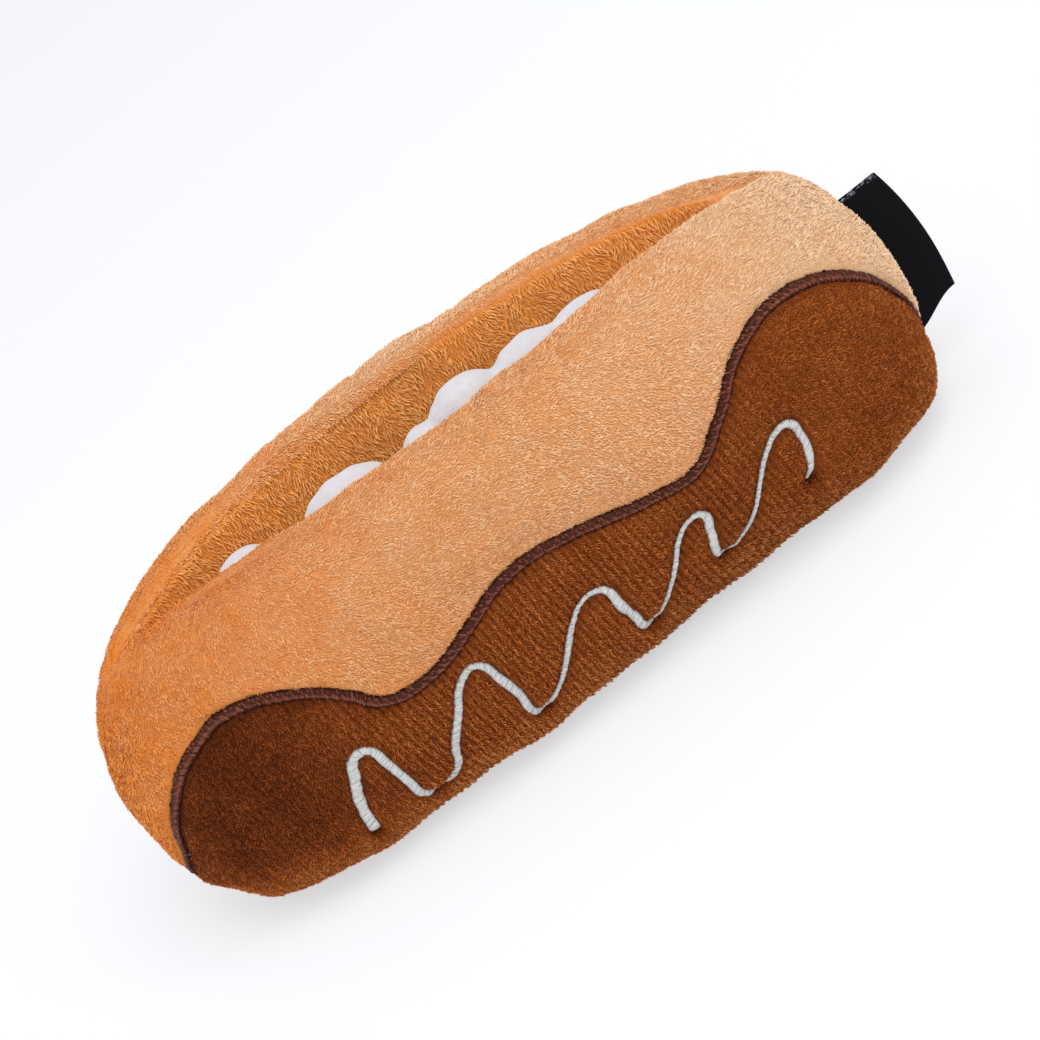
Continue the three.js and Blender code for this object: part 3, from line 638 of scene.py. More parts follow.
def meshFromGrid(name, columns, rows, place):
    # A grid of quads bent to shape: place gives the points, outward directions, nap, and warmth of colour
    # together with painted shade and light.
    # The nap is the way the pile is combed, and its length is how full the pile grows there
    bm = bmesh.new()
    bmesh.ops.create_grid(bm, x_segments=columns, y_segments=rows, size=1)
    mesh = bpy.data.meshes.new(name)
    bm.to_mesh(mesh)
    bm.free()
    flat = np.empty(len(mesh.vertices) * 3)
    mesh.vertices.foreach_get("co", flat)
    square = flat.reshape(-1, 3)[:, :2]
    points, out, nap, warmthAndShade = place(square[:, 0], (square[:, 1] + 1) / 2)
    mesh.vertices.foreach_set("co", points.ravel())
    mesh.update()
    corner = np.empty(len(mesh.loops), np.int32)
    mesh.loops.foreach_get("vertex_index", corner)
    mapped = mesh.uv_layers.new(name="OFBake")
    mapped.uv.foreach_set("vector", ((square[corner] * mapShare + 1) / 2).ravel().astype(np.float32))
    face = mesh.polygons[len(mesh.polygons) // 2]
    if face.normal.dot(Vector(out[face.vertices[0]])) < 0:
        mesh.flip_normals()
    addAttribute(mesh, "nap", nap)
    addAttribute(mesh, "mapPlace", np.c_[(square * mapShare + 1) / 2, np.zeros(len(square))])
    addAttribute(mesh, "warmthAndShade", warmthAndShade)
    mesh.shade_smooth()
    return mesh


def addObject(name, mesh, material):
    piece = bpy.data.objects.new(name, mesh)
    bpy.context.scene.collection.objects.link(piece)
    mesh.materials.clear()
    mesh.materials.append(material)
    return piece


# Pile: short locks of fibre, combed along the nap, grown evenly over a cloth
tuftShape = {"width": 0.0006, "thickness": 0.00034, "length": 0.0022}


def makeTuft():
    bm = bmesh.new()
    bmesh.ops.create_cone(bm, cap_ends=False, segments=3, radius1=tuftShape["width"] / 2, radius2=0,
                          depth=tuftShape["length"])
    bmesh.ops.remove_doubles(bm, verts=bm.verts, dist=1e-6)
    bmesh.ops.translate(bm, verts=bm.verts, vec=(0, 0, tuftShape["length"] / 2))
    bmesh.ops.rotate(bm, verts=bm.verts, cent=(0, 0, 0), matrix=Matrix.Rotation(math.pi / 2, 3, "Y"))
    bmesh.ops.scale(bm, verts=bm.verts, vec=(1, 1, tuftShape["thickness"] / tuftShape["width"]))
    mesh = bpy.data.meshes.new("tuft")
    bm.to_mesh(mesh)
    bm.free()
    addAttribute(mesh, "tip", np.array([vertex.co.x / tuftShape["length"] for vertex in mesh.vertices]))
    return bpy.data.objects.new("tuft", mesh)


tuft = makeTuft()


def pileTree(name, growth):
    tree = bpy.data.node_groups.new(name, "GeometryNodeTree")
    tree.interface.new_socket("Geometry", in_out="INPUT", socket_type="NodeSocketGeometry")
    tree.interface.new_socket("Geometry", in_out="OUTPUT", socket_type="NodeSocketGeometry")
    start = addNode(tree, "NodeGroupInput")
    scatter = addNode(tree, "GeometryNodeDistributePointsOnFaces", {
        "distribute_method": "POISSON", "Distance Min": growth["spacing"],
        "Density Max": 3 / growth["spacing"] ** 2, "Seed": growth["seed"]}, {"Mesh": start.outputs[0]})
    nap = addNode(tree, "GeometryNodeInputNamedAttribute", {"data_type": "FLOAT_VECTOR", "Name": "nap"})
    fullness = addNode(tree, "ShaderNodeVectorMath", {"operation": "LENGTH"}, {0: nap.outputs[0]})
    spot = addNode(tree, "GeometryNodeInputPosition")
    clump = addNode(tree, "ShaderNodeTexNoise", {
        "Scale": 1 / growth["clump"], "Detail": 1, "Distortion": 0.6}, {"Vector": spot.outputs[0]})
    height = addNode(tree, "ShaderNodeMapRange", {
        "From Min": 0.35, "From Max": 0.65, "To Min": 0, "To Max": 2 * growth["clumpHeight"]},
        {"Value": clump.outputs[0]})
    lift = addNode(tree, "ShaderNodeVectorMath", {"operation": "SCALE"},
                   {0: scatter.outputs["Normal"], "Scale": height.outputs[0]})
    lifted = addNode(tree, "GeometryNodeSetPosition", {}, {
        "Geometry": scatter.outputs["Points"], "Offset": lift.outputs[0]})
    curls = addNode(tree, "ShaderNodeTexNoise", {"Scale": 1 / growth["curl"], "Detail": 0},
                    {"Vector": spot.outputs[0]})
    sway = math.radians(growth["sway"])
    swayed = addNode(tree, "ShaderNodeMapRange", {
        "From Min": 0.3, "From Max": 0.7, "To Min": -sway, "To Max": sway}, {"Value": curls.outputs[0]})
    swing = addNode(tree, "ShaderNodeCombineXYZ", {}, {"Z": swayed.outputs[0]})
    upright = addNode(tree, "FunctionNodeAlignRotationToVector", {"axis": "Z"},
                      {"Vector": scatter.outputs["Normal"]})
    combed = addNode(tree, "FunctionNodeAlignRotationToVector", {"axis": "X", "pivot_axis": "Z"},
                     {"Rotation": upright.outputs[0], "Vector": nap.outputs[0]})
    tilt, toss, roll = (math.radians(growth[key]) for key in ("tilt", "toss", "roll"))
    stray = addNode(tree, "FunctionNodeRandomValue", {
        "data_type": "FLOAT_VECTOR", "Seed": growth["seed"] + 1})
    stray.inputs[0].default_value = (-roll, -tilt - toss / 2, -toss)
    stray.inputs[1].default_value = (roll, -tilt + toss / 2, toss)
    swung = addNode(tree, "ShaderNodeVectorMath", {"operation": "ADD"}, {
        0: stray.outputs[0], 1: swing.outputs[0]})
    turned = addNode(tree, "FunctionNodeEulerToRotation", {}, {0: swung.outputs[0]})
    laid = addNode(tree, "FunctionNodeRotateRotation", {"rotation_space": "LOCAL"},
                   {0: combed.outputs[0], 1: turned.outputs[0]})
    size = addNode(tree, "FunctionNodeRandomValue", {"data_type": "FLOAT_VECTOR", "Seed": growth["seed"] + 2})
    size.inputs[0].default_value = (growth["shortest"], growth["thinnest"], growth["thinnest"])
    size.inputs[1].default_value = (growth["longest"], growth["thickest"], growth["thickest"])
    grown = addNode(tree, "ShaderNodeVectorMath", {"operation": "SCALE"},
                    {0: size.outputs[0], "Scale": fullness.outputs["Value"]})
    shape = addNode(tree, "GeometryNodeObjectInfo", {"Object": tuft})
    placed = addNode(tree, "GeometryNodeInstanceOnPoints", {}, {
        "Points": lifted.outputs[0], "Instance": shape.outputs["Geometry"],
        "Rotation": laid.outputs[0], "Scale": grown.outputs[0]})
    # A lock's painted shade, nearer 1 for darker: painted between the clumps and where the pile grows thin,
    # with a random share of tone
    chance = addNode(tree, "FunctionNodeRandomValue", {"data_type": "FLOAT", "Seed": growth["seed"] + 3})
    between = addNode(tree, "ShaderNodeMapRange", {
        "From Min": 0.36, "From Max": 0.62, "To Min": 0.62, "To Max": 0}, {"Value": clump.outputs[0]})
    thin = addNode(tree, "ShaderNodeMapRange", {"From Min": 0.4, "From Max": 1, "To Min": 0.5, "To Max": 0},
                   {"Value": fullness.outputs["Value"]})
    deeper = addNode(tree, "ShaderNodeMath", {"operation": "ADD"}, {
        0: between.outputs[0], 1: thin.outputs[0]})
    shade = addNode(tree, "ShaderNodeMath", {"operation": "MULTIPLY_ADD", 1: 0.3},
                    {0: chance.outputs[1], 2: deeper.outputs[0]})
    shaded = addNode(tree, "GeometryNodeStoreNamedAttribute", {
        "data_type": "FLOAT", "domain": "INSTANCE", "Name": "shade"}, {"Geometry": placed.outputs[0]})
    tree.links.new(shade.outputs[0], shaded.inputs["Value"])
    real = addNode(tree, "GeometryNodeRealizeInstances", {}, {0: shaded.outputs[0]})
    addNode(tree, "NodeGroupOutput", {}, {0: real.outputs[0]})
    return tree


def growPile(name, roots, material, growth):
    host = bpy.data.objects.new(name, roots)
    bpy.context.scene.collection.objects.link(host)
    host.modifiers.new("pile", "NODES").node_group = pileTree(name, growth)
    graph = bpy.context.evaluated_depsgraph_get()
    grown = host.evaluated_get(graph)
    mesh = bpy.data.meshes.new_from_object(grown, preserve_all_data_layers=True, depsgraph=graph)
    bpy.data.objects.remove(host)
    mesh.name = name
    mapTufts(mesh)
    mesh.shade_flat()
    print(name, "grown with", len(mesh.polygons), "faces")
    return addObject(name, mesh, material)


def mapTufts(mesh):
    # Each lock is mapped where its root stands on the cloth's own map, a little long and wide
    count = len(mesh.vertices)
    place, tip = np.empty(count * 3, np.float32), np.empty(count, np.float32)
    mesh.attributes["mapPlace"].data.foreach_get("vector", place)
    mesh.attributes["tip"].data.foreach_get("value", tip)
    place = place.reshape(-1, 3)[:, :2]
    place[:, 0] += tip * tuftShape["length"] / (2 * pouch["halfLength"])
    place[:, 1] += (np.arange(count) % 2) * tuftShape["width"] / pouch["height"]
    corner = np.empty(len(mesh.loops), np.int32)
    mesh.loops.foreach_get("vertex_index", corner)
    for layer in list(mesh.uv_layers):
        mesh.uv_layers.remove(layer)
    mapped = mesh.uv_layers.new(name="OFBake")
    mapped.uv.foreach_set("vector", np.clip(place[corner], 0, 1).ravel())
    for name in ("mapPlace", "nap"):
        mesh.attributes.remove(mesh.attributes[name])


def minky(name, looks, tufted):
    # Sheared polyester pile: painted shade in the hollows and at the roots of the locks, paler fibre ends,
    # and a soft rim of light from the sheen
    material, tree = newMaterial(name)
    where = addNode(tree, "ShaderNodeTexCoord")
    patches = addNode(tree, "ShaderNodeTexNoise", {
        "Scale": 1 / looks["patch"], "Detail": 3, "Roughness": 0.6}, {"Vector": where.outputs["Object"]})
    patch = addNode(tree, "ShaderNodeMapRange", {
        "From Min": 0.3, "From Max": 0.7, "To Min": -looks["patchiness"], "To Max": looks["patchiness"]},
        {"Value": patches.outputs[0]})
    # The warmth attribute holds the cloth's tone together with painted shade and painted light
    warmthAndShade = addNode(tree, "ShaderNodeAttribute", {"attribute_name": "warmthAndShade"})
    shadedWarmth = addNode(tree, "ShaderNodeMath", {"operation": "ADD", "use_clamp": True},
                   {0: warmthAndShade.outputs["Fac"], 1: patch.outputs[0]})
    blend = addNode(tree, "ShaderNodeMix", {"data_type": "RGBA"}, {
        6: ramp(tree, looks["ends"], shadedWarmth.outputs[0]), 7: ramp(tree, looks["shadedHollows"], shadedWarmth.outputs[0])})
    fleck = addNode(tree, "ShaderNodeTexNoise", {"Scale": 1 / looks["fleck"], "Detail": 3, "Roughness": 0.6},
                    {"Vector": where.outputs["Object"]})
    if tufted:
        tip = addNode(tree, "ShaderNodeAttribute", {"attribute_name": "tip"})
        # The locks' shade attribute: painted shade between clumps and where the pile grows thin, with a
        # random share of tone
        chance = addNode(tree, "ShaderNodeAttribute", {"attribute_name": "shade"})
        # Painted shade at each lock's root, fading to the paler end colour at its tip
        rooted = addNode(tree, "ShaderNodeMapRange", {
            "From Min": 0.0, "From Max": 0.6, "To Min": 0.9, "To Max": 0}, {"Value": tip.outputs["Fac"]})
        depth = addNode(tree, "ShaderNodeMath", {
            "operation": "MULTIPLY_ADD", "use_clamp": True, 1: looks["uneven"]},
            {0: chance.outputs["Fac"], 2: rooted.outputs[0]})
    else:
        # The cloth under the pile is painted mostly in the shaded hollow colour
        depth = addNode(tree, "ShaderNodeMapRange", {
            "From Min": 0.35, "From Max": 0.6, "To Min": 1, "To Max": 0.7}, {"Value": fleck.outputs[0]})
    tree.links.new(depth.outputs[0], blend.inputs[0])
    bump = addNode(tree, "ShaderNodeBump", {"Strength": 0.5, "Distance": looks["fleck"] / 3},
                   {"Height": fleck.outputs[0]})
    shader = addNode(tree, "ShaderNodeBsdfPrincipled", {
        "Roughness": 0.8, "IOR": 1.45, "Specular IOR Level": looks["specular"],
        "Sheen Weight": looks["sheen"], "Sheen Roughness": 0.4, "Sheen Tint": linear(looks["rim"])},
        {"Base Color": blend.outputs[2], "Normal": bump.outputs[0]})
    addNode(tree, "ShaderNodeOutputMaterial", {}, {"Surface": shader.outputs[0]})
    return material


# The ends are the fibre's own colour; the hollows colours are painted shade for the roots and the gaps
# between locks
tanLooks = {
    "ends": [(0, "#f8dcba"), (0.5, "#f6cfa2"), (1, "#f1a855")],
    "shadedHollows": [(0, "#e0b486"), (0.5, "#e09c5c"), (1, "#dc802e")],
    "rim": "#f3dcc2", "patch": 0.011, "patchiness": 0.12, "fleck": 0.0012, "sheen": 0.3, "specular": 0.2,
    "uneven": 0.8,
}
chocolateLooks = {
    "ends": [(0, "#e09050"), (0.5, "#ce7132"), (1, "#9c4b1b")],
    "shadedHollows": [(0, "#8a4a1a"), (0.5, "#70320c"), (1, "#3e1804")],
    "rim": "#b5642c", "patch": 0.012, "patchiness": 0.12, "fleck": 0.0009, "sheen": 0.15, "specular": 0.1,
    "uneven": 0.75,
}
orangeLooks = {
    **tanLooks, "ends": [(0, "#fdcf8c"), (1, "#fdb763")], "shadedHollows": [(0, "#f0a24c"), (1, "#ee9238")],
}
tanCloth = minky("tanMinkyCloth", tanLooks, False)
tanPile = minky("tanMinkyPile", tanLooks, True)
brownCloth = minky("chocolateMinkyCloth", chocolateLooks, False)
brownPile = minky("chocolateMinkyPile", chocolateLooks, True)
orangeCloth = minky("orangeMinkyCloth", orangeLooks, False)
orangePile = minky("orangeMinkyPile", orangeLooks, True)

# Bun and icing panels: each ends beside the stitched cord in a small roll
bun = {
    "columns": 300, "rows": 90, "rollRadius": 0.0014, "rollShare": 0.05, "clear": 0.0010, "inset": 0.0009,
    "sewnFullness": 0.45, "sewnShare": 0.10,
    "nap": -14, "leftNap": -50, "leftNapFrom": (-0.02, -0.095), "napWaver": 16, "napWaves": (70, 40),
    "lipShares": (0.90, 0.99), "lipNap": 75, "lipWarmth": 0.85, "lipWarmthShare": 0.8,
    # Along the length the left end is painted deeper as shade and the right part paler as light
    "warmthAndShade": {
        "near": [(-0.100, 1.0), (-0.050, 0.72), (-0.020, 0.55), (0.055, 0.42), (0.085, 0.06), (0.110, 0.0)],
        "far": [(-0.100, 1.0), (-0.050, 0.80), (0.000, 0.22), (0.060, 0.50), (0.110, 0.3)],
    },
}
bunGrowth = {"spacing": 0.00037, "tilt": 27, "toss": 28, "roll": 40,
             "shortest": 0.28, "longest": 0.46, "thinnest": 0.8, "thickest": 1.25,
             "clump": 0.0013, "clumpHeight": 0.00016, "curl": 0.0030, "sway": 20}
icing = {
    "columns": 520, "rows": 64, "rollRadius": 0.0012, "rollShare": 0.06, "clear": 0.0010, "inset": 0.0007,
    # The rows' troughs are painted darker as shade and their ribs lighter
    "rowPitch": 0.00178, "rowLean": 0.12, "rowDepth": 0.00026, "rowShade": 0.24, "rowThin": 0.26,
    "rowLeast": 0.3, "rowFromLeft": (-0.065, -0.040), "rowFromRight": (0.070, 0.040),
    "nap": -80, "rightNap": 98, "rightNapFrom": (-0.045, 0.06), "napWaver": 14, "napWaves": (90, 50),
    # The icing's left end is painted darker, as shade
    "warmthAndShade": 0.48, "shadedEnd": 0.50, "shadedEndX": -0.084, "shadedEndReach": 0.028,
    # The icing's lowest band, by the table, is painted lighter, as light from below
    "shadedEndHeights": (0.010, 0.028), "litHem": 0.34, "litHemHeights": (0.020, 0.005),
    # Beside the drizzle's stitching the icing is painted darker, as shade in the groove
    "sewnFullness": 0.5, "sewnShade": 0.3, "sewnReach": (0.0010, 0.0024), "sewnShare": 0.9, "stitchSkip": 3,
}
icingGrowth = {"spacing": 0.00037, "tilt": 30, "toss": 30, "roll": 40,
               "shortest": 0.30, "longest": 0.50, "thinnest": 0.8, "thickest": 1.25,
               "clump": 0.0012, "clumpHeight": 0.00012, "curl": 0.0026, "sway": 24}


def columnsOf(square):
    # Across for each column, how far up the edge is there, and the step of up for a metre square to it
    across = np.sin(math.pi / 2 * square)
    levels, back = np.unique(np.round(across, 6), return_inverse=True)
    edge = upAtEdge(levels)
    left, right = np.maximum(levels - tiny, -1), np.minimum(levels + tiny, 1)
    run = unit(skin(right, upAtEdge(right)) - skin(left, upAtEdge(left)))
    climb = skin(levels, edge + tiny) - skin(levels, edge - tiny)
    step = 2 * tiny / np.linalg.norm(np.cross(run, climb), axis=-1)
    return across, edge[back], step[back]


def napOf(run, climb, angle):
    return run * np.cos(angle)[..., None] + climb * np.sin(angle)[..., None]


def bunPlace(where):
    side = sides[where]

    def place(square, share):
        across, edge, step = columnsOf(square)
        turn = np.clip(1 - share / bun["rollShare"], 0, 1) * math.pi / 2
        flat = np.clip((share - bun["rollShare"]) / (1 - bun["rollShare"]), 0, 1)
        foot = edge + step * (bun["clear"] + bun["rollRadius"] * (1 - np.sin(turn)))
        depth = bun["inset"] + bun["rollRadius"] * (1 - np.cos(turn))
        points, out, run, climb = dressed(across, mix(foot, 1, flat), depth, side)
        x, z = points[:, 0], points[:, 2]
        leftward = smooth(*bun["leftNapFrom"], x)
        waver = np.sin(bun["napWaves"][0] * x + bun["napWaves"][1] * z)
        angle = np.radians(bun["nap"] + bun["leftNap"] * leftward + bun["napWaver"] * waver)
        # The pile of the lip is combed over the seam, into the pocket
        inside = smooth(*bun["lipShares"], flat)
        angle = mix(angle, np.radians(bun["lipNap"]), inside)
        # Painted shade deepens the left end, painted light pales the right
        warmthAndShade = np.interp(x, *zip(*bun["warmthAndShade"][where]))
        warmthAndShade = mix(warmthAndShade, bun["lipWarmth"], bun["lipWarmthShare"] * inside)
        fullness = mix(bun["sewnFullness"], 1, smooth(0, bun["sewnShare"], share))
        return points, out, napOf(run, climb, angle) * fullness[:, None], warmthAndShade
    return place


def icingPlace(where):
    side = sides[where]

    def place(square, share):
        across, edge, step = columnsOf(square)
        turn = np.clip(1 - (1 - share) / icing["rollShare"], 0, 1) * math.pi / 2
        flat = np.clip(share / (1 - icing["rollShare"]), 0, 1)
        head = edge - step * (icing["clear"] + icing["rollRadius"] * (1 - np.sin(turn)))
        up = np.maximum(head * flat, 0)
        bare = skin(across, up) * [side, 1, 1]
        row = np.sin(2 * math.pi * (bare[:, 0] + icing["rowLean"] * bare[:, 2]) / icing["rowPitch"])
        fromLeft, fromRight = (smooth(*icing[key], bare[:, 0]) for key in ("rowFromLeft", "rowFromRight"))
        row = row * (icing["rowLeast"] + (1 - icing["rowLeast"]) * fromLeft * fromRight)
        depth = icing["inset"] + icing["rollRadius"] * (1 - np.cos(turn)) + icing["rowDepth"] * row
        points, out, run, climb = dressed(across, up, depth, side)
        x, z = points[:, 0] * side, points[:, 2]
        rightward = smooth(*icing["rightNapFrom"], x)
        waver = np.sin(icing["napWaves"][0] * x - icing["napWaves"][1] * z)
        angle = np.radians(icing["nap"] + icing["rightNap"] * rightward + icing["napWaver"] * waver)
        # Painted shade deepens the icing's left end
        shadedEnd = np.exp(-(((x - icing["shadedEndX"]) / icing["shadedEndReach"]) ** 2))
        warmthAndShade = icing["warmthAndShade"] + icing["shadedEnd"] * shadedEnd * smooth(*icing["shadedEndHeights"], z)
        # Painted light along the lowest band by the table, and painted shade in the rows' troughs with light
        # on their ribs
        warmthAndShade = warmthAndShade - icing["litHem"] * smooth(*icing["litHemHeights"], z) + icing["rowShade"] * row
        # Painted shadow in the pinches at the foot of each stitched valley
        warmthAndShade = warmthAndShade + relief["pinchShade"] * pinched(bare[:, 0], bare[:, 2])
        toStitch = nearest(bare, skin(drizzleAcross, drizzleUp)[::icing["stitchSkip"]])
        sewn = np.minimum(smooth(*icing["sewnReach"], toStitch), smooth(1, icing["sewnShare"], share))
        # Painted shade in the grooves beside the drizzle's stitching
        warmthAndShade = warmthAndShade + icing["sewnShade"] * (1 - sewn)
        fullness = mix(icing["sewnFullness"], 1, sewn) * (1 - icing["rowThin"] * (0.5 + 0.5 * row))
        return points, out, napOf(run, climb, angle * side) * fullness[:, None], warmthAndShade
    return place


def attach(piece, where, nodes):
    # Near pieces ride on the near half. Far ones are not parented and keep their placement baked into their
    # points; the halves are sewn together at the end seams
    if nodes:
        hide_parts(*nodes)
    if where == "near":
        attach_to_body(piece, "near_half")
    else:
        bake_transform(piece)


def makePanels():
    for where, side in sides.items():
        mesh = meshFromGrid(where + "Bun", bun["columns"], bun["rows"], bunPlace(where))
        cloth = addObject(where + "Bun", mesh, tanCloth)
        pile = growPile(where + "BunPile", mesh, tanPile, {**bunGrowth, "seed": 16 - 5 * side})
        attach(cloth, where, [where + "_bun_panel"])
        attach(pile, where, None)
        mesh = meshFromGrid(where + "Icing", icing["columns"], icing["rows"], icingPlace(where))
        cloth = addObject(where + "Icing", mesh, brownCloth)
        pile = growPile(where + "IcingPile", mesh, brownPile, {**icingGrowth, "seed": 36 - 5 * side})
        attach(cloth, where, [where + "_icing_panel"])
        attach(pile, where, None)


makePanels()
print("panels and pile made")


def satinThread(name, looks):
    # Rayon embroidery thread: filaments lie together and gloss where they turn to the light; the colour ramp
    # across each stitch also paints a lit band and shaded edges
    material, tree = newMaterial(name)
    where = addNode(tree, "ShaderNodeTexCoord")
    grain = addNode(tree, "ShaderNodeTexNoise", {"Scale": 1 / looks["grain"], "Detail": 2},
                    {"Vector": where.outputs["Object"]})
    warmthAndShade = addNode(tree, "ShaderNodeAttribute", {"attribute_name": "warmthAndShade"})
    place = addNode(tree, "ShaderNodeMath", {"operation": "MULTIPLY_ADD", "use_clamp": True, 1: 0.16},
                    {0: grain.outputs[0], 2: warmthAndShade.outputs["Fac"]})
    bump = addNode(tree, "ShaderNodeBump", {"Strength": 0.25, "Distance": looks["grain"] / 6},
                   {"Height": grain.outputs[0]})
    shader = addNode(tree, "ShaderNodeBsdfPrincipled", {
        "Roughness": looks["roughness"], "IOR": 1.5, "Specular IOR Level": looks["specular"],
        "Specular Tint": linear(looks["glint"])},
        {"Base Color": ramp(tree, looks["across"], place.outputs[0]), "Normal": bump.outputs[0]})
    addNode(tree, "ShaderNodeOutputMaterial", {}, {"Surface": shader.outputs[0]})
    return material


# The cord's ramp paints shade at both edges and a lit band just past its middle
edgeThread = satinThread("brownRayonThread", {
    "across": [(0, "#28100a"), (0.42, "#3a180f"), (0.54, "#7a3f2f"), (0.68, "#844838"), (0.82, "#3c1a11")],
    "glint": "#e8a890", "grain": 0.0008, "roughness": 0.42, "specular": 0.4})
# The drizzle's ramp paints grey shade at both edges and light in its middle
drizzleThread = satinThread("silverRayonThread", {
    "across": [(0, "#8f918c"), (0.25, "#c6c7c0"), (0.7, "#dbdbd5"), (1, "#a3a49e")],
    "glint": "#ffffff", "grain": 0.0009, "roughness": 0.38, "specular": 0.5})

# Satin stitching: one bent thread for each stitch, side by side over a flat padding of the same colour.
# The padding comes so far up between the threads, as a share of their radius, that only fine ribs show
edgeStitch = {"height": 0.0011, "thread": 0.00029, "pitch": 0.00043, "slant": 0.7, "ragged": 0.00018,
              "uneven": 0.12, "depth": 0.0007, "fullHalf": 0.0015}
drizzleStitch = {"height": 0.00042, "thread": 0.00024, "pitch": 0.00036, "slant": 0.3, "ragged": 0.00005,
                 "uneven": 0.12, "depth": 0.0004, "fullHalf": 0.0012}
sewing = {"paddingShare": 0.5, "paddingTurn": 118, "paddingColumns": 700, "paddingRows": 14,
          "bends": [-122, -82, -42, 0, 42, 82, 122], "sunkShare": 0.1, "leastShare": 0.35, "jitter": 0.3,
          "shadeShare": 0.2}
edgeLine = {"full": 0.0031, "sunk": 0.0016, "from": 0.093, "to": 0.106, "steps": 900, "endShare": 0.9995}


def stitchFrame(across, up, widths, side, style):
    points, out, _, _ = dressed(across, up, np.full_like(across, style["depth"]), side)
    line = measured(points)
    places = np.arange(style["pitch"] / 2, line[2], style["pitch"])
    places = places + style["uneven"] * style["pitch"] * np.random.default_rng(5).normal(0, 1, len(places))
    shares = np.sort(np.clip(places / line[2], 0, 1))
    centres = pointAlong(line, shares)
    forward = unit(np.gradient(centres, axis=0))
    normals = unit(pointAlong((line[0], out), shares))
    reach = np.maximum(np.interp(shares, line[0], widths) / 2 - style["thread"], style["thread"] / 3)
    least = sewing["leastShare"]
    heights = style["height"] * np.minimum(1, least + (1 - least) * reach / style["fullHalf"])
    return centres, forward, normals, unit(np.cross(forward, normals)), reach, heights


def satinStitches(name, laid, side, style, material):
    curve = bpy.data.curves.new(name, "CURVE")
    curve.dimensions = "3D"
    curve.bevel_depth = style["thread"]
    curve.bevel_resolution = 0
    curve.use_fill_caps = True
    count = len(laid[0])
    rng = np.random.default_rng(count)
    bends = np.radians(sewing["bends"])
    for centre, ahead, normal, square, half, height in zip(*laid):
        wander = rng.normal(0, 1, 3)
        spline = curve.splines.new("POLY")
        spline.points.add(len(bends) - 1)
        for knot, angle in zip(spline.points, bends):
            ragged = style["ragged"] * (wander[0] if angle > 0 else wander[1])
            place = centre + square * (half + ragged) * math.sin(angle)
            place = place + normal * height * (math.cos(angle) - sewing["sunkShare"])
            lean = style["slant"] * half * math.sin(angle) + style["thread"] * sewing["jitter"] * wander[2]
            knot.co = (*(place + ahead * lean), 1)
    strands = bpy.data.objects.new(name, curve)
    bpy.context.scene.collection.objects.link(strands)
    graph = bpy.context.evaluated_depsgraph_get()
    mesh = bpy.data.meshes.new_from_object(strands.evaluated_get(graph))
    bpy.data.objects.remove(strands)
    mesh.name = name
    ring = len(mesh.vertices) // (count * len(bends))
    # Each point's place on the ramp that paints the lit band and shaded edges, plus a random tone for each
    # thread
    facing = acrossStitch(np.tile(np.repeat(bends, ring), count), side)
    shade = np.repeat(rng.random(count) - 0.5, ring * len(bends))
    warmthAndShade = facing + sewing["shadeShare"] * shade
    addAttribute(mesh, "warmthAndShade", np.resize(warmthAndShade, len(mesh.vertices)))
    mesh.shade_smooth()
    print(name, "sewn with", count, "stitches")
    return addObject(name, mesh, material)


def acrossStitch(angle, side):
    # The place on a stitch's ramp of colours, from 0 on the bun's side to 1 on the icing's side, along which
    # the ramp paints shaded edges and a lit band
    return 0.42 + 0.42 * side * np.sin(angle)


def stitchPadding(name, laid, side, style, material):
    # The flat underlay that the stitches are sewn over, so that no cloth shows between them
    centres, _, normals, sideways, reach, heights = laid
    raised = sewing["paddingShare"] * style["thread"]

    def place(square, share):
        row = np.round((square + 1) / 2 * (len(centres) - 1)).astype(int)
        angle = (share * 2 - 1) * math.radians(sewing["paddingTurn"])
        points = centres[row] + sideways[row] * ((reach[row] + raised) * np.sin(angle))[:, None]
        lift = (heights[row] + raised) * np.cos(angle) - sewing["sunkShare"] * heights[row]
        points = points + normals[row] * lift[:, None]
        # The padding takes the same painted lit band and shade across the stitch
        return points, normals[row], sideways[row], acrossStitch(angle, side)
    columns = min(len(centres) - 1, sewing["paddingColumns"])
    return addObject(name, meshFromGrid(name, columns, sewing["paddingRows"], place), material)


def sewLine(where, name, node, laid, style, material):
    side = sides[where]
    attach(satinStitches(where + name, laid, side, style, material), where, [where + node])
    attach(stitchPadding(where + name + "Padding", laid, side, style, material), where, None)


def makeStitching():
    across = np.sin(math.pi / 2 * np.linspace(-1, 1, edgeLine["steps"])) * edgeLine["endShare"]
    sinking = smooth(edgeLine["from"], edgeLine["to"], np.abs(across) * pouch["halfLength"])
    widths = mix(edgeLine["full"], edgeLine["sunk"], sinking)
    for where, side in sides.items():
        laid = stitchFrame(across, upAtEdge(across), widths, side, edgeStitch)
        sewLine(where, "IcingEdge", "_icing_edge", laid, edgeStitch, edgeThread)
        laid = stitchFrame(side * drizzleAcross, drizzleUp, drizzleWidth, side, drizzleStitch)
        sewLine(where, "Drizzle", "_drizzle", laid, drizzleStitch, drizzleThread)


makeStitching()
print("stitching made")

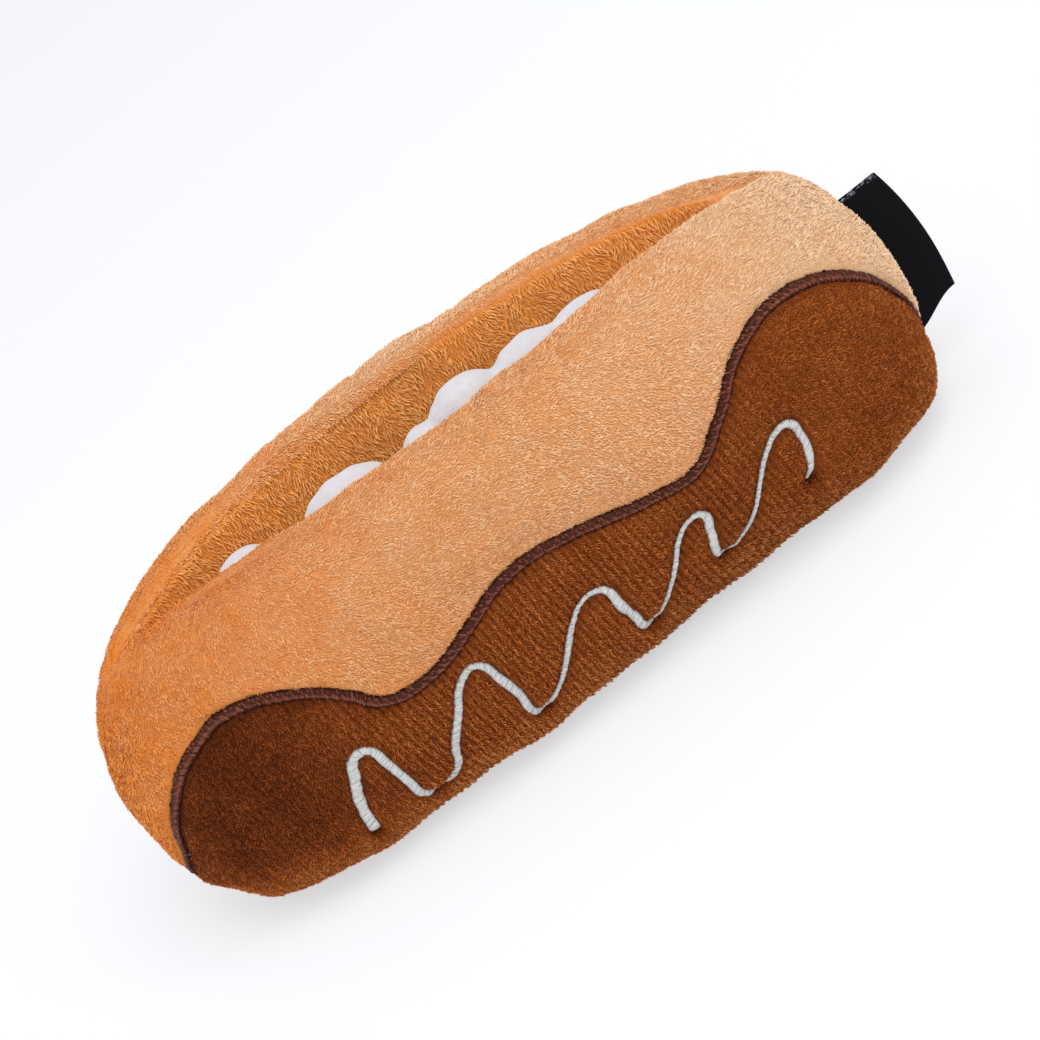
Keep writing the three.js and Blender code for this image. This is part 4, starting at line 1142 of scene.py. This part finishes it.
# Pocket lining: plush walls that hang from the lips, and a floor that is sewn to the near wall
lining = {
    "columns": 220, "rows": {"near": 92, "far": 60}, "wallShare": {"near": 0.62, "far": 0.9},
    "turnShare": 0.1, "endShare": 0.985, "outset": 0.0002, "topDrop": -0.0006, "topShare": 0.2,
    "cornerTuck": 0.0005, "cornerFrom": (0.5, 0.8), "cornerRadius": 0.004, "bendShare": 0.45,
    "floorLift": 0.0004, "floorGap": 0.0016, "sag": -0.0009, "sagShare": 0.5, "crease": 0.0005,
    "nap": 78, "napWaver": 16, "napWaves": 50,
    # The lining's left end is painted deeper, as shade
    "warmthAndShade": 0.5, "leftShade": 0.3, "leftShadeFrom": (0.0, -0.09),
    "flat": {"near": (0.175, 0.115), "far": (0.175, 0.065)},
}
liningGrowth = {"spacing": 0.00048, "tilt": 27, "toss": 30, "roll": 40,
                "shortest": 0.50, "longest": 0.85, "thinnest": 0.8, "thickest": 1.25,
                "clump": 0.0026, "clumpHeight": 0.00020, "curl": 0.006, "sway": 32}


def pocketHalfWidth(x):
    return mix(pouch["seamGap"], ridge[1], 1 - (np.abs(x) / pouch["pocketHalf"]) ** 2)


def ridgeHeight(x):
    return mix(ridge[2], pocketCorner[2], (np.abs(x) / pouch["pocketHalf"]) ** outline["crestRiseFullness"])


def underLip(where, square, x):
    # How far the top edge leans into the wall, near the mouth's corners and where the far lip draws back
    lean = lining["cornerTuck"] * smooth(*lining["cornerFrom"], np.abs(square))
    if where == "far":
        lean = lean + np.maximum(0, -np.interp(x, *zip(*relief["farCrest"])))
    return lean


def liningPath(where, square, share):
    x = lining["endShare"] * pouch["pocketHalf"] * np.sin(math.pi / 2 * square)
    half = pocketHalfWidth(x) + lining["outset"]
    floor = pouch["pocketFloor"] + lining["floorLift"]
    bend = np.minimum(lining["cornerRadius"], half * lining["bendShare"])
    wallShare, turnShare = lining["wallShare"][where], lining["turnShare"]
    down = np.clip(share / wallShare, 0, 1)
    turn = np.clip((share - wallShare) / turnShare, 0, 1) * math.pi / 2
    over = 0 * share
    if where == "near":
        over = np.clip((share - wallShare - turnShare) / (1 - wallShare - turnShare), 0, 1)
    z = mix(ridgeHeight(x) - lining["topDrop"], floor + bend, down) - bend * np.sin(turn)
    belly = np.sin(math.pi * down) * smooth(0, lining["sagShare"], 1 - np.abs(square))
    y = half + underLip(where, square, x) * smooth(lining["topShare"], 0, down) + belly * lining["sag"]
    y = y - bend * (1 - np.cos(turn)) - over * (2 * half - bend - lining["floorGap"])
    # Slack folds: two crossed waves, bent so that no two folds lie alike
    fold = np.sin(160 * x + 90 * z + 2 * np.sin(60 * x)) * np.sin(110 * z - 40 * x)
    y = y + lining["crease"] * fold * np.sin(math.pi * down)
    return np.stack([x, -sides[where] * y, z], -1)


def liningPlace(where):
    def place(square, share):
        points = liningPath(where, square, share)
        run = unit(liningPath(where, np.minimum(square + tiny, 1), share)
                   - liningPath(where, np.maximum(square - tiny, -1), share))
        fall = unit(liningPath(where, square, np.minimum(share + tiny, 1))
                    - liningPath(where, square, np.maximum(share - tiny, 0)))
        waver = np.sin(lining["napWaves"] * points[:, 0])
        lean = np.radians(lining["nap"] - lining["napWaver"] * waver)
        # Painted shade deepens the left end
        warmthAndShade = lining["warmthAndShade"] + lining["leftShade"] * smooth(*lining["leftShadeFrom"], points[:, 0])
        return points, unit(np.cross(run, fall)) * sides[where], napOf(run, fall, lean), warmthAndShade
    return place


def makeLinings():
    for where, side in sides.items():
        mesh = meshFromGrid(where + "Lining", lining["columns"], lining["rows"][where], liningPlace(where))
        cloth = addObject(where + "Lining", mesh, orangeCloth)
        pile = growPile(where + "LiningPile", mesh, orangePile, {**liningGrowth, "seed": 56 - 5 * side})
        attach(cloth, "far", [where + "_pocket_lining"])
        attach(pile, "far", None)


makeLinings()
print("linings made")

# Cream: stuffed fleece lobes in a row behind the near lip, each with its place, half length, depth and top
cream = {
    "halfLength": 0.064,
    "bow": 0.006,
    "bottom": 0.0232,
    "drops": [1, 2.2, 3.4, 4.6, 5.8, 7.0],
    "tallness": 1.1,
    "lobes": [
        (-0.0530, 0.0085, 0.0062, 0.0757), (-0.0415, 0.0080, 0.0062, 0.0685),
        (-0.0250, 0.0130, 0.0076, 0.0774), (-0.0035, 0.0066, 0.0066, 0.0757),
        (0.0095, 0.0105, 0.0080, 0.0795), (0.0270, 0.0110, 0.0076, 0.0778),
        (0.0420, 0.0115, 0.0068, 0.0757), (0.0545, 0.0080, 0.0058, 0.0700),
    ],
    "voxel": 0.0011,
    "smoothing": 10,
    "fluff": 0.00016,
    "clump": 0.002,
    "clumpDepth": 0.0004,
}


def creamMiddle(x):
    return -cream["bow"] * (1 - (x / cream["halfLength"]) ** 2)


def whiteFleece():
    # Anti-pill fleece: matt and slightly uneven, with no gloss at all
    material, tree = newMaterial("whiteAntiPillFleece")
    where = addNode(tree, "ShaderNodeTexCoord")
    clump = addNode(tree, "ShaderNodeTexNoise", {
        "Scale": 1 / cream["clump"], "Detail": 4, "Roughness": 0.65}, {"Vector": where.outputs["Object"]})
    bump = addNode(tree, "ShaderNodeBump", {"Strength": 0.6, "Distance": cream["clumpDepth"]},
                   {"Height": clump.outputs[0]})
    shader = addNode(tree, "ShaderNodeBsdfPrincipled", {
        "Roughness": 0.95, "Specular IOR Level": 0.1, "Sheen Weight": 0.3, "Sheen Roughness": 0.6},
        {"Base Color": ramp(tree, [(0.3, "#cbc8c8"), (0.7, "#d6d3d3")], clump.outputs[0]),
         "Normal": bump.outputs[0]})
    addNode(tree, "ShaderNodeOutputMaterial", {}, {"Surface": shader.outputs[0]})
    return material


def softened(name, mesh, voxel, smoothing, fluffed):
    # One closed skin around a mesh, rounded, then moved along its normals by what fluffed gives
    blob = bpy.data.objects.new(name, mesh)
    bpy.context.scene.collection.objects.link(blob)
    remesh = blob.modifiers.new("voxels", "REMESH")
    remesh.mode = "VOXEL"
    remesh.voxel_size = voxel
    soften = blob.modifiers.new("soften", "SMOOTH")
    soften.factor = 0.6
    soften.iterations = smoothing
    graph = bpy.context.evaluated_depsgraph_get()
    done = bpy.data.meshes.new_from_object(blob.evaluated_get(graph))
    bpy.data.objects.remove(blob)
    done.name = name
    place, normal = np.empty(len(done.vertices) * 3), np.empty(len(done.vertices) * 3)
    done.vertices.foreach_get("co", place)
    done.vertex_normals.foreach_get("vector", normal)
    place, normal = place.reshape(-1, 3), normal.reshape(-1, 3)
    place = place + normal * fluffed(place)[:, None]
    done.vertices.foreach_set("co", place.ravel())
    done.update()
    done.shade_smooth()
    return done


def fluffy(spot):
    wave = cream["fluff"] * np.sin(spot[:, 0] * 900 + 3 * np.sin(spot[:, 2] * 400))
    return wave * np.sin(spot[:, 2] * 800)


def makeCream():
    bm = bmesh.new()
    for x, half, depth, top in cream["lobes"]:
        for drop in cream["drops"]:
            ball = bmesh.ops.create_icosphere(bm, subdivisions=4, radius=depth)["verts"]
            bmesh.ops.scale(bm, verts=ball, vec=(half / depth, 1, cream["tallness"]))
            height = max(top - drop * depth * cream["tallness"], cream["bottom"] + depth * cream["tallness"])
            bmesh.ops.translate(bm, verts=ball, vec=(x, creamMiddle(x), height))
    lobes = bpy.data.meshes.new("creamLobes")
    bm.to_mesh(lobes)
    bm.free()
    mesh = softened("creamCover", lobes, cream["voxel"], cream["smoothing"], fluffy)
    attach(addObject("creamCover", mesh, whiteFleece()), "near", ["cream_cover"])


makeCream()
print("cream made")

# Woven label: one black satin ribbon, folded double and sewn into the right end seam
label = {
    "root": 0.106, "reach": 0.1198, "topReach": 0.1166, "bow": 0.0005,
    "top": 0.0537, "bottom": 0.0120, "outerBottom": 0.0171, "gap": 0.00045, "thickness": 0.00028,
    "wave": 0.0006, "waves": 130, "fray": 0.0009, "foldShare": 0.1, "runSteps": 48, "heightSteps": 70,
    "rib": 0.0022, "yarn": 0.0032, "thread": 0.0007, "weaveDepth": 0.0001,
}


def labelPlace(square, share):
    away = 1 - np.abs(square)
    flat = 1 - label["foldShare"]
    turn = np.clip((away - flat) / label["foldShare"], 0, 1) * math.pi / 2
    z = mix(mix(label["bottom"], label["outerBottom"], smooth(0, flat, away)), label["top"], share)
    reach = mix(label["reach"], label["topReach"], share ** 3) + label["bow"] * np.sin(math.pi * share)
    reach = reach - label["gap"]
    x = mix(label["root"], reach, np.minimum(away / flat, 1)) + label["gap"] * np.sin(turn)
    y = np.sign(square) * label["gap"] * np.cos(turn)
    y = y + label["wave"] * np.sin(label["waves"] * z + 1) * smooth(label["root"], label["reach"], x)
    out = np.stack([0 * x, np.sign(square), 0 * x], -1)
    return np.stack([x, y, z], -1), out, np.tile([1.0, 0, 0], (len(x), 1)), 0 * x


def wovenSatin():
    # Damask-woven satin ribbon: close ribs that catch a little light, with pale broken threads at the top
    material, tree = newMaterial("blackWovenSatin")
    where = addNode(tree, "ShaderNodeTexCoord")
    rib = addNode(tree, "ShaderNodeTexWave", {
        "bands_direction": "Z", "Scale": 1 / label["rib"], "Distortion": 0.6, "Detail": 2},
        {"Vector": where.outputs["Object"]})
    yarn = addNode(tree, "ShaderNodeTexWave", {
        "bands_direction": "X", "Scale": 1 / label["yarn"], "Distortion": 0.4},
        {"Vector": where.outputs["Object"]})
    weave = addNode(tree, "ShaderNodeMath", {"operation": "MULTIPLY"}, {
        0: rib.outputs[1], 1: yarn.outputs[1]})
    parts = addNode(tree, "ShaderNodeSeparateXYZ", {}, {0: where.outputs["Object"]})
    rim = addNode(tree, "ShaderNodeMapRange", {
        "From Min": label["top"] - label["fray"], "From Max": label["top"]}, {"Value": parts.outputs["Z"]})
    threads = addNode(tree, "ShaderNodeTexNoise", {"Scale": 1 / label["thread"], "Detail": 1},
                      {"Vector": where.outputs["Object"]})
    broken = addNode(tree, "ShaderNodeMapRange", {"From Min": 0.5, "From Max": 0.62},
                     {"Value": threads.outputs[0]})
    frayed = addNode(tree, "ShaderNodeMath", {"operation": "MULTIPLY"}, {
        0: rim.outputs[0], 1: broken.outputs[0]})
    colour = addNode(tree, "ShaderNodeMix", {"data_type": "RGBA", 7: linear("#8d8f94")}, {
        0: frayed.outputs[0], 6: ramp(tree, [(0, "#040506"), (1, "#0c0e11")], weave.outputs[0])})
    bump = addNode(tree, "ShaderNodeBump", {"Strength": 0.5, "Distance": label["weaveDepth"]},
                   {"Height": weave.outputs[0]})
    shader = addNode(tree, "ShaderNodeBsdfPrincipled", {
        "Roughness": 0.7, "IOR": 1.45, "Specular IOR Level": 0.12},
        {"Base Color": colour.outputs[2], "Normal": bump.outputs[0]})
    addNode(tree, "ShaderNodeOutputMaterial", {}, {"Surface": shader.outputs[0]})
    return material


def makeLabel():
    mesh = meshFromGrid("wovenLabel", label["runSteps"], label["heightSteps"], labelPlace)
    piece = addObject("wovenLabel", mesh, wovenSatin())
    wall = piece.modifiers.new("thickness", "SOLIDIFY")
    wall.thickness = label["thickness"]
    wall.offset = 0
    attach(piece, "near", ["woven_label"])


makeLabel()
print("label made")

# Base panel: a boat-shaped panel of the same brown plush that closes the underside
base = {"columns": 240, "rows": 64, "lift": 0.0006, "tuck": 0.0012, "reach": 0.995, "crownPower": 3,
        "keelFrom": 0.7, "keelShare": 0.8, "hemShare": 0.5, "nap": [1.0, 0.15, 0], "warmthAndShade": 0.5}
baseGrowth = {"spacing": 0.00052, "tilt": 8, "toss": 8, "roll": 20,
              "shortest": 0.48, "longest": 0.75, "thinnest": 0.75, "thickest": 1.05,
              "clump": 0.0014, "clumpHeight": 0.00002, "curl": 0.0026, "sway": 35}


def basePlace(square, share):
    across = base["reach"] * np.sin(math.pi / 2 * square)
    edge = skin(across, 0 * across)
    width = 2 * share - 1
    z = mix(base["lift"], edge[:, 2] + base["tuck"], np.abs(width) ** base["crownPower"])
    keel = smooth(base["keelFrom"], 1, np.abs(across))
    z = mix(z, np.maximum(z, edge[:, 2] * keel * base["keelShare"]), keel)
    z = z + liftedHem(edge[:, 0]) * smooth(-base["hemShare"], -1, width)
    points = np.stack([edge[:, 0], edge[:, 1] * width, z], -1)
    out = np.tile([0.0, 0, -1], (len(z), 1))
    return points, out, np.tile(base["nap"], (len(z), 1)), np.full(len(z), base["warmthAndShade"])


def makeBase():
    mesh = meshFromGrid("basePanel", base["columns"], base["rows"], basePlace)
    cloth = addObject("basePanel", mesh, brownCloth)
    pile = growPile("basePile", mesh, brownPile, {**baseGrowth, "seed": 81})
    attach(cloth, "far", ["base_panel"])
    attach(pile, "far", None)


makeBase()
print("base made")

# Fillings: carded fibre between cover and lining, out of sight but there when a half is lifted off
filling = {"voxel": 0.0024, "smoothing": 6, "fluff": 0.0005, "slack": 0.0016, "curl": 0.004,
           "curlDepth": 0.0008}


def fibreFill():
    # Siliconised polyester fibre: matt white clumps crossed by fine curls
    material, tree = newMaterial("polyesterFibreFill")
    where = addNode(tree, "ShaderNodeTexCoord")
    curl = addNode(tree, "ShaderNodeTexNoise", {
        "Scale": 1 / filling["curl"], "Detail": 6, "Distortion": 1.5}, {"Vector": where.outputs["Object"]})
    bump = addNode(tree, "ShaderNodeBump", {"Strength": 0.9, "Distance": filling["curlDepth"]},
                   {"Height": curl.outputs[0]})
    shader = addNode(tree, "ShaderNodeBsdfPrincipled", {"Roughness": 0.95, "Sheen Weight": 0.5}, {
        "Base Color": ramp(tree, [(0.3, "#d9d6d0"), (0.7, "#fbfaf7")], curl.outputs[0]),
        "Normal": bump.outputs[0]})
    addNode(tree, "ShaderNodeOutputMaterial", {}, {"Surface": shader.outputs[0]})
    return material


def lumpy(spot):
    lump = np.sin(spot[:, 0] * 500 + 2 * np.sin(spot[:, 1] * 330))
    lump = lump * np.sin(spot[:, 2] * 420 + spot[:, 0] * 110)
    return filling["fluff"] * lump - filling["slack"]


def makeFilling(name, node, where, material):
    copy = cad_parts[node].data.copy()
    bm = bmesh.new()
    bm.from_mesh(copy)
    bmesh.ops.remove_doubles(bm, verts=bm.verts, dist=1e-6)
    bmesh.ops.recalc_face_normals(bm, faces=bm.faces)
    bm.to_mesh(copy)
    bm.free()
    mesh = softened(name, copy, filling["voxel"], filling["smoothing"], lumpy)
    attach(addObject(name, mesh, material), where, [node])


def makeFillings():
    fibre = fibreFill()
    makeFilling("nearFilling", "near_wall_filling", "near", fibre)
    makeFilling("farFilling", "far_wall_filling", "far", fibre)
    makeFilling("baseWadding", "base_wadding", "far", fibre)
    makeFilling("creamFilling", "cream_filling", "near", fibre)


makeFillings()
print("fillings made")

# Squeaker and crinkle film: their shapes are the frame's own, and only the finish is new
innerParts = {"flow": 0.008, "flowDepth": 0.0003, "crease": 0.009, "creaseDepth": 0.001}


def waxyPolyethylene():
    # Blow-moulded polyethylene: milky and waxy, with a faint flow pattern
    material, tree = newMaterial("blowMouldedPolyethylene")
    where = addNode(tree, "ShaderNodeTexCoord")
    flow = addNode(tree, "ShaderNodeTexNoise", {
        "Scale": 1 / innerParts["flow"], "Detail": 3, "Distortion": 0.6}, {"Vector": where.outputs["Object"]})
    bump = addNode(tree, "ShaderNodeBump", {"Strength": 0.15, "Distance": innerParts["flowDepth"]},
                   {"Height": flow.outputs[0]})
    shader = addNode(tree, "ShaderNodeBsdfPrincipled", {
        "Roughness": 0.38, "IOR": 1.51, "Subsurface Weight": 0.2, "Subsurface Scale": 0.002},
        {"Base Color": ramp(tree, [(0.3, "#e9e8e2"), (0.7, "#f6f5f0")], flow.outputs[0]),
         "Normal": bump.outputs[0]})
    addNode(tree, "ShaderNodeOutputMaterial", {}, {"Surface": shader.outputs[0]})
    return material


def crinkledFilm():
    # Crinkled polyester film: pale grey and glossy, broken up by sharp creases, with painted shade darkening
    # the grey along them
    material, tree = newMaterial("crinkledPolyesterFilm")
    where = addNode(tree, "ShaderNodeTexCoord")
    crease = addNode(tree, "ShaderNodeTexVoronoi", {
        "feature": "DISTANCE_TO_EDGE", "Scale": 1 / innerParts["crease"]},
        {"Vector": where.outputs["Object"]})
    bump = addNode(tree, "ShaderNodeBump", {"Strength": 0.8, "Distance": innerParts["creaseDepth"]},
                   {"Height": crease.outputs["Distance"]})
    shader = addNode(tree, "ShaderNodeBsdfPrincipled", {"Roughness": 0.15, "IOR": 1.58}, {
        "Base Color": ramp(tree, [(0, "#c8ccd0"), (0.5, "#e6e9ea")], crease.outputs["Distance"]),
        "Normal": bump.outputs[0]})
    addNode(tree, "ShaderNodeOutputMaterial", {}, {"Surface": shader.outputs[0]})
    return material


def dressInnerParts():
    waxy, film = waxyPolyethylene(), crinkledFilm()
    for node, material in (("squeaker_bulb", waxy), ("squeaker_whistle", waxy), ("crinkle_film", film)):
        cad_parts[node].data.materials.clear()
        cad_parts[node].data.materials.append(material)


dressInnerParts()
print("inner parts dressed")
